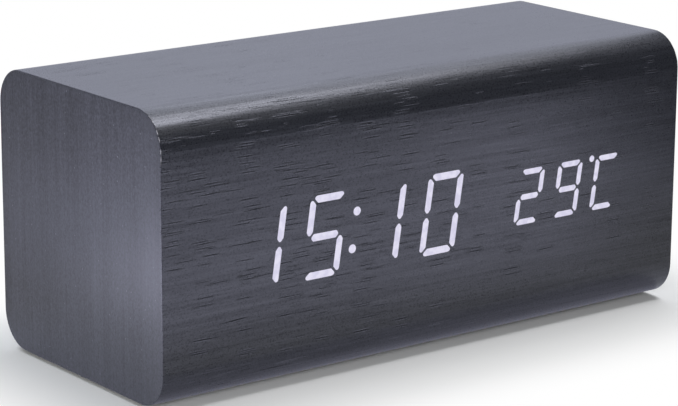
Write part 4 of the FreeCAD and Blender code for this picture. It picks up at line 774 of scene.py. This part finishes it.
class Grower(Nodes):
    """A Geometry Nodes tree with named inputs."""
    family = "GeometryNode"

    def __init__(self, name, **inputs):
        super().__init__(bpy.data.node_groups.new(name, "GeometryNodeTree"))
        self.values = {key.replace("_", " ").capitalize(): value for key, value in inputs.items()}
        sockets = self.tree.interface
        sockets.new_socket("Geometry", in_out="INPUT", socket_type="NodeSocketGeometry")
        for key, value in self.values.items():
            kind = next(word for sort, word in SOCKET_KINDS.items() if isinstance(value, sort))
            sockets.new_socket(key, in_out="INPUT", socket_type="NodeSocket" + kind)
        sockets.new_socket("Geometry", in_out="OUTPUT", socket_type="NodeSocketGeometry")
        self.given = self.tree.nodes.new("NodeGroupInput").outputs
        self.result = self.tree.nodes.new("NodeGroupOutput").inputs["Geometry"]

    def attribute(self, name, kind="FLOAT"):
        return self.out("InputNamedAttribute", {"Name": name}, data_type=kind)

    def copies(self, instance, points=None, **turn_and_scale):
        """One instance on every point, by default on the points that the tree is given."""
        inputs = {key.capitalize(): value for key, value in turn_and_scale.items()}
        inputs |= {"Points": points or self.given["Geometry"], "Instance": instance}
        return self.out("InstanceOnPoints", inputs)

    def row(self, count, pitch):
        """Points at equal distances along x."""
        return self.out("MeshLine", {"Count": count, "Offset": self.vector(pitch, 0.0, 0.0)})

    def shape_of(self, model):
        return self.node("ObjectInfo", {"Object": model, "As Instance": True}).outputs["Geometry"]

    def circle(self, radius, points=10):
        return self.out("CurvePrimitiveCircle", {"Resolution": points, "Radius": radius})

    def curve(self):
        """The points that the tree is given, joined in their order."""
        return self.out("MeshToCurve", {"Mesh": self.given["Geometry"]})

    def sweep(self, curve, section):
        inputs = {"Curve": curve, "Profile Curve": section, "Fill Caps": True}
        return self.out("CurveToMesh", inputs)

    def smooth(self, geometry):
        return self.out("SetShadeSmooth", {"Geometry": geometry})

    def real(self, geometry):
        return self.out("RealizeInstances", {"Geometry": geometry})

    def join(self, *parts):
        made = self.node("JoinGeometry")
        for part in parts:
            self.feed(made.inputs[0], part)
        return made.outputs[0]

    def end(self, geometry, **marked):
        """Every tree ends with real faces in its Material, and marked ones in a material of their own."""
        inputs = {"Geometry": self.real(geometry), "Material": self.given["Material"]}
        made = self.out("SetMaterial", inputs)
        for mark, material in marked.items():
            chosen = self.attribute(mark, "BOOLEAN")
            inputs = {"Geometry": made, "Selection": chosen, "Material": self.given[material]}
            made = self.out("SetMaterial", inputs)
        self.feed(self.result, made)

    def grow(self, name, points, **attributes):
        """Runs the tree on points, in metres, and returns the mesh it makes as an object."""
        cloud = bpy.data.meshes.new(name + "_points")
        cloud.from_pydata([tuple(p) for p in points], [(n, n + 1) for n in range(len(points) - 1)], [])
        for key, numbers in attributes.items():
            cloud.attributes.new(key, "FLOAT", "POINT").data.foreach_set("value", numbers)
        piece = bpy.data.objects.new(name, cloud)
        bpy.context.scene.collection.objects.link(piece)
        modifier = piece.modifiers.new("grow", "NODES")
        modifier.node_group = self.tree
        for item in self.tree.interface.items_tree:
            if item.in_out == "INPUT" and item.name in self.values:
                modifier[item.identifier] = self.values[item.name]
        applied(piece, modifier)
        bpy.data.meshes.remove(cloud)
        return piece

# %% [markdown]
# ## Screws
# A pan-head screw is a turned head with a cross-shaped pocket and a shank with a thread. The thread is a
# grid of points round the shank, whose radius rises and falls once for each turn. The pocket is cut by two
# tapered bars. One such screw is then put on every place, and each is turned by its own random angle,
# because no two screws stop at the same one.

# %% A screw's head
HEAD_HEIGHT = 1.2     # in mm


def tapered_bar(length, turn, width=0.62, depth=0.85):
    """A bar that narrows downwards, to cut half of a cross. Sizes in mm."""
    form = bmesh.new()
    bmesh.ops.create_cube(form, size=1)
    for vert in form.verts:
        narrow = 1.0 if vert.co.z > 0 else 0.55
        x, y, z = vert.co
        vert.co = Vector((x * length * narrow, y * width * narrow, (z - 0.3) * depth * 1.4)) * MM
    bmesh.ops.rotate(form, verts=form.verts, matrix=Matrix.Rotation(turn, 3, "Z"))
    return as_object("pocket", form, [])


def screw_head(name, head):
    """A turned head with a cross cut into it."""
    half, deep = head / 2, -HEAD_HEIGHT
    profile = (
        (0, -0.02), (half * 0.55, 0), (half - 0.35, -0.04), (half - 0.10, -0.16), (half, -0.42),
        (half, deep), (0, deep),
    )
    crown = lathe(name, [(r, z, 0) for r, z in profile], [zinc])
    for turn in (0, math.pi / 2):
        bar = tapered_bar(head * 0.60, turn)
        pocket = crown.modifiers.new("pocket", "BOOLEAN")
        pocket.operation, pocket.solver, pocket.object = "DIFFERENCE", "EXACT", bar
        applied(crown, pocket)
        bpy.data.objects.remove(bar)
    return crown

# %% A screw's thread
THREAD_PITCH, TIP = 1.0, 1.2     # in mm
SIDES, RINGS_PER_TURN = 20, 7


def screw(name, head, shank, length):
    """A screw whose crown lies at z 0 and whose tip points down. Sizes in mm."""
    radius, root, thread = shank / 2, shank / 2 * 0.74, length - TIP
    levels = int(thread / THREAD_PITCH * RINGS_PER_TURN)
    form = bmesh.new()
    rings = []
    for level in range(levels + 1):
        down = thread * level / levels
        ring = []
        for turn in (n / SIDES for n in range(SIDES)):
            phase = (down / THREAD_PITCH + turn) % 1.0
            crest = max(0.0, 1 - abs(phase - 0.5) * 3.2)
            r, angle = (root + (radius - root) * crest) * MM, 2 * math.pi * turn
            place = r * math.cos(angle), r * math.sin(angle), -(HEAD_HEIGHT + down) * MM
            ring.append(form.verts.new(place))
        rings.append(ring)
    point = form.verts.new((0, 0, -(HEAD_HEIGHT + length) * MM))
    for above, below in zip(rings, rings[1:] + [[point] * SIDES]):
        for n in range(SIDES):
            m = (n + 1) % SIDES
            form.faces.new(dict.fromkeys((above[n], above[m], below[m], below[n])))
    form.faces.new(list(reversed(rings[0])))
    bmesh.ops.recalc_face_normals(form, faces=form.faces)
    for face in form.faces:
        face.smooth = True
    crown = screw_head(name + "_head", head)
    form.from_mesh(crown.data)
    bpy.data.objects.remove(crown)
    return as_object(name, form, [zinc])

# %% Screws in their places
UP, DOWN = (-math.pi / 2, 0.0, 0.0), (math.pi / 2, 0.0, 0.0)  # the crown faces the back, or the front


def place_screws(node, facing, head, shank, length, seed):
    """Puts a screw on each solid of a CAD node of screws."""
    places = []
    for low, high in solids_in(node):
        centre = (low + high) / 2
        places.append((centre.x, high.y if facing is UP else low.y, centre.z))
    model = screw(node + "_model", head, shank, length)
    tree = Grower("screws", screw=model, facing=facing, seed=seed, material=zinc.material)
    placed = tree.copies(tree.shape_of(tree.given["Screw"]), rotation=tree.given["Facing"])
    full_turn = {"Seed": tree.given["Seed"], 1: (0, 0, 2 * math.pi)}
    angle = tree.out("FunctionNodeRandomValue", full_turn, data_type="FLOAT_VECTOR")
    tree.end(tree.out("RotateInstances", {"Instances": placed, "Rotation": angle}))
    piece = tree.grow(node + "_turned", places)
    bpy.data.objects.remove(model)
    fit(piece, node)


place_screws("panel_screws", UP, 5.0, 2.6, 10.0, 3)
place_screws("board_screws", DOWN, 4.2, 2.2, 5.0, 5)
place_screws("display_screws", UP, 4.2, 2.2, 5.0, 8)

# %% [markdown]
# ## Rubber feet
# Each foot is a disc glued into a shallow recess. It is turned on the lathe with two moulded grooves in
# the face it stands on, which keep it from sliding, and set on the four places by Geometry Nodes.

# %% Feet
rubber = moulded("black_rubber", paint(34, 34, 36), 0.75, 0.5, 0.02)
FOOT = (    # radius and height in mm
    (0, 0), (1.2, 0), (1.35, 0.14), (1.65, 0.14), (1.8, 0), (2.7, 0), (2.85, 0.14), (3.15, 0.14), (3.3, 0),
    (4.05, 0), (4.3, 0.07), (4.44, 0.22), (4.5, 0.42), (4.5, 2.0), (0, 2.0),
)
foot = lathe("foot_model", [(r, z, 0) for r, z in FOOT], [rubber], 40)
tree = Grower("feet", foot=foot, material=rubber.material)
tree.end(tree.copies(tree.shape_of(tree.given["Foot"])))
places = [((low.x + high.x) / 2, (low.y + high.y) / 2, low.z) for low, high in solids_in("rubber_feet")]
feet = tree.grow("feet", places)
bpy.data.objects.remove(foot)
fit(feet, "rubber_feet")

# %% [markdown]
# ## Light-emitting chips
# Behind each bar sit one or two chips of a millimetre and a half. A chip is a white ceramic block with
# plated ends and a yellow window. It repeats eighty times, so it is built inside the tree from four plain
# shapes of a few faces. Upright bars need their chips turned upright, which a number on each point says.

# %% One light-emitting chip
CHIP_LENGTH = 1.6 * MM
ceramic = moulded("led_ceramic", paint(232, 232, 226), 0.5, 0.4, 0.004)
phosphor = Finish("phosphor_window", roughness=0.35, subsurface_weight=0.2)
powder = phosphor.noise((0.12, 0.12, 0.12))
grain = phosphor.ramp(powder, 0.35, 0.65)
phosphor.set(base_color=phosphor.mix(grain, paint(226, 190, 52), paint(244, 218, 96)))
phosphor.bump(powder, 0.01)

leds = Grower("led_chips", length=CHIP_LENGTH, width=0.8 * MM, height=0.7 * MM, plated_end=0.28 * MM,
              material=ceramic.material, window=phosphor.material, ends=zinc.material)
length, width, height = (leds.given[name] for name in ("Length", "Width", "Height"))


def box(along, across, up, lift, shift=0.0):
    """A part of a chip. up and lift are shares of the chip's height, and shift is one of its length."""
    cube = leds.out("MeshCube", {"Size": leds.vector(along, across, leds.times(height, up))})
    where = leds.vector(leds.times(length, shift), 0.0, leds.times(height, lift))
    return leds.out("Transform", {"Geometry": cube, "Translation": where})


def marked(part, mark):
    """A part whose faces carry a mark, so that they can get a material of their own."""
    inputs = {"Geometry": part, "Name": mark, "Value": True}
    return leds.out("StoreNamedAttribute", inputs, data_type="BOOLEAN", domain="FACE")


body = box(leds.times(length, 0.68), width, 0.72, 0.36)
window = box(leds.times(length, 0.56), leds.times(width, 0.72), 0.28, 0.86)
plated = leds.join(*(box(leds.given["Plated end"], width, 0.6, 0.3, side * 0.41) for side in (-1, 1)))
chip = leds.join(body, marked(window, "window"), marked(plated, "plated"))
turned = leds.vector(math.pi / 2, leds.attribute("turn"), 0.0)
leds.end(leds.copies(chip, rotation=turned, scale=leds.attribute("scale")), window="Window", plated="Ends")
print("nodes of the chip's tree:", len(leds.tree.nodes))

# %% Chips on the display board
for node in ("time_leds", "temperature_leds"):
    places, turns, scales = [], [], []
    for low, high in solids_in(node):
        along, up = high.x - low.x, high.z - low.z
        places.append(((low.x + high.x) / 2, high.y, (low.z + high.z) / 2))
        turns.append(math.pi / 2 if up > along else 0.0)
        scales.append(max(along, up) / CHIP_LENGTH)
    fit(leds.grow(node + "_placed", places, turn=turns, scale=scales), node)

# %% [markdown]
# ## Contact springs
# The flat end of each cell presses on a conical spring. A cone of wire is one curve: a spiral whose radius
# shrinks as it climbs, with a circle as its section. A closed ring at the wide end rests on the plate.

# %% Springs
CELLS = (1, 1), (2, -1), (3, 1)     # a cell's number, and 1 where its flat end has the lower x

springs = Grower("springs", base_radius=3.4 * MM, tip_radius=2.2 * MM, height=5.1 * MM, turns=3.5,
                 wire_radius=0.3 * MM, material=nickel.material)
given = springs.given
spiral = springs.out("CurveSpiral", {
    "Resolution": 20, "Rotations": given["Turns"], "Start Radius": given["Base radius"],
    "End Radius": given["Tip radius"], "Height": given["Height"],
})
curves = springs.join(spiral, springs.circle(given["Base radius"], 36))
wires = springs.smooth(springs.sweep(curves, springs.circle(given["Wire radius"])))
springs.end(springs.copies(wires, rotation=springs.vector(0.0, springs.attribute("turn"), 0.0)))

plates_low, plates_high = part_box("contact_springs")
places, turns = [], []
for number, sign in CELLS:
    low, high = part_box(f"aaa_cell_{number}")
    wall = plates_low.x + 0.3 * MM if sign > 0 else plates_high.x - 0.3 * MM
    places.append((wall, (low.y + high.y) / 2, (low.z + high.z) / 2))
    turns.append(sign * math.pi / 2)
fit(springs.grow("wound_springs", places, turn=turns), "contact_springs")

# %% [markdown]
# ## Cells
# A cell is a steel can in a printed jacket. The jacket curls over both ends, a dark ring insulates the
# raised pole, and the metal shows at the poles. The print here is plain: a slate body with a pale band.

# %% Cells
def jacket(name, foot, sign):
    """A plain printed film whose band lies near the raised pole."""
    made = Finish(name, roughness=0.28, coat_weight=0.4, coat_roughness=0.1)
    along = made.times(made.math("SUBTRACT", made.axis("X"), foot), sign / MM)
    band = made.ramp(along, 33.0, 33.15)
    line = made.times(made.ramp(along, 31.4, 31.5), made.ramp(along, 32.1, 32.2, 1, 0))
    flake = made.noise((0.25, 0.25, 0.25), detail=1)
    body = made.mix(made.ramp(flake, 0.3, 0.7), paint(52, 60, 74), paint(66, 75, 90))
    made.set(base_color=made.mix(made.total(band, line), body, paint(206, 208, 204)))
    return made.bump(made.noise((4, 1.2, 1.2), detail=1), 0.03)


ring_plastic = moulded("insulating_ring", paint(40, 36, 34), 0.5)
JACKET, STEEL, RING = 0, 1, 2
CELL = (
    (0, 0.10, STEEL), (3.3, 0.10, STEEL), (3.5, 0.22, STEEL), (4.3, 0.22, STEEL),
    (4.3, 0.02, JACKET), (4.9, 0.05, JACKET), (5.18, 0.22, JACKET), (5.25, 0.5, JACKET),
    (5.25, 43.1, JACKET), (5.18, 43.45, JACKET), (4.9, 43.64, JACKET), (4.3, 43.70, JACKET),
    (4.25, 43.5, JACKET), (2.9, 43.45, RING), (2.85, 43.62, STEEL), (2.1, 43.66, STEEL),
    (1.92, 43.8, STEEL), (1.88, 44.3, STEEL), (1.7, 44.5, STEEL), (0, 44.5, STEEL),
)
for number, sign in CELLS:
    low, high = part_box(f"aaa_cell_{number}")
    foot_x = low.x if sign > 0 else high.x
    film = jacket(f"cell_jacket_{number}", foot_x, sign)
    cell = lathe(f"cell_{number}", CELL, [film, can, ring_plastic], 48)
    turn = Matrix.Rotation(sign * math.pi / 2, 4, "Y")
    cell.data.transform(Matrix.Translation((foot_x, (low.y + high.y) / 2, (low.z + high.z) / 2)) @ turn)
    fit(cell, f"aaa_cell_{number}")

# %% [markdown]
# ## Ribbon and its plugs
# Ten cores lie side by side between the two boards, and the first is red so that the plug goes on the
# right way round. The route is three straight runs with rounded bends. One curve along it is repeated ten
# times and given a round section. Each plug has a waist, and a key so that it fits one way only.

# %% Ribbon
sheath = Finish("ribbon_insulation", roughness=0.45)
start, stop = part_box("ribbon_cable")
first_core = sheath.ramp(sheath.axis("X"), start.x + 0.98 * MM, start.x + 1.02 * MM, 1, 0)
grey = sheath.mix(sheath.noise((2, 2, 2)), paint(150, 152, 156), paint(168, 170, 174))
sheath.set(base_color=sheath.mix(first_core, grey, paint(170, 34, 32)))
sheath.bump(sheath.noise((0.5, 3, 3)), 0.02)

ribbon = Grower("ribbon", cores=10, pitch=0.995 * MM, core_radius=0.52 * MM, bend_radius=13.4 * MM,
                material=sheath.material)
given = ribbon.given
corners = {"Curve": ribbon.curve(), "Radius": given["Bend radius"], "Count": 8}
bent = ribbon.out("FilletCurve", corners, mode="POLY")
cores = ribbon.real(ribbon.copies(bent, ribbon.row(given["Cores"], given["Pitch"])))
ribbon.end(ribbon.smooth(ribbon.sweep(cores, ribbon.circle(given["Core radius"]))))

core_x, start_z, stop_z = start.x + 0.5 * MM, start.z + 0.4 * MM, stop.z - 0.4 * MM
third = (stop.y - start.y) / 3
route = (start.y, start_z), (start.y + third, start_z), (stop.y - third, stop_z), (stop.y, stop_z)
fit(ribbon.grow("ribbon_cores", [(core_x, y, z) for y, z in route]), "ribbon_cable")

# %% Plugs of the ribbon
PLUG_DEPTHS = (0, 3.3), (3.9, 6), (3.1, 4.1)    # socket, plug and the neck between, in mm from the board

form = bmesh.new()
for low, high in solids_in("ribbon_headers"):
    board, towards = (low.y, MM) if low.y < 0 else (high.y, -MM)
    socket, plug, neck = (sorted(board + towards * depth for depth in pair) for pair in PLUG_DEPTHS)
    for near, far in (socket, plug):
        block(form, (low.x, near, low.z), (high.x, far, high.z), 0.3)
    block(form, (low.x + MM, neck[0], low.z + 0.5 * MM), (high.x - MM, neck[1], high.z - 0.5 * MM), 0.1)
    key_low = low.x + 4.5 * MM, socket[0], high.z - 0.2 * MM
    key_high = high.x - 4.5 * MM, socket[1], high.z + 0.7 * MM
    block(form, key_low, key_high, 0.15)
fit(as_object("ribbon_plugs", form, [header_plastic]), "ribbon_headers")

# %% [markdown]
# ## Chips with their legs
# A chip is a black block whose eight legs on each side bend down to the board. The leg is a strip swept
# along a bent line, and Geometry Nodes repeat it at 1.27 mm, which is the pitch that real chips have.

# %% Chips
LEG = (1.8, 0.75), (2.25, 0.75), (2.5, 0.12), (3.0, 0.12)   # out from the middle and up from the board, in mm
LEGS = 8

epoxy = moulded("chip_epoxy", paint(26, 26, 28), 0.55, 0.18, 0.006)
legs = Grower("chip_legs", legs=LEGS, pitch=PITCH * MM, thickness=0.20 * MM, leg_width=0.42 * MM,
              material=zinc.material)
given = legs.given
strip_size = {"Width": given["Leg width"], "Height": given["Thickness"]}
leg = legs.sweep(legs.curve(), legs.out("CurvePrimitiveQuadrilateral", strip_size))
legs.end(legs.copies(leg, legs.row(given["Legs"], given["Pitch"])))

for node in ("led_driver_chip", "clock_chip"):
    low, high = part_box(node)
    centre = (low + high) / 2
    first = centre.x - (LEGS - 1) / 2 * PITCH * MM
    chip = bmesh.new()
    block(chip, (low.x, low.y + 0.15 * MM, low.z + MM), (high.x, high.y, high.z - MM), 0.18)
    for side in (-MM, MM):
        bend = [(first, low.y + up * MM, centre.z + side * out) for out, up in LEG]
        row = legs.grow(f"{node}_legs", bend)
        chip.from_mesh(row.data)
        bpy.data.objects.remove(row)
    for face in chip.faces:
        inside = abs(face.calc_center_median().z - centre.z) < 2.02 * MM
        face.material_index = 0 if inside else 1
    fit(as_object(node + "_with_legs", chip, [epoxy, zinc]), node)

# %% [markdown]
# ## The end
# The dressed clock must be no larger than its CAD model, so its box is found again here.

low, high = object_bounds()
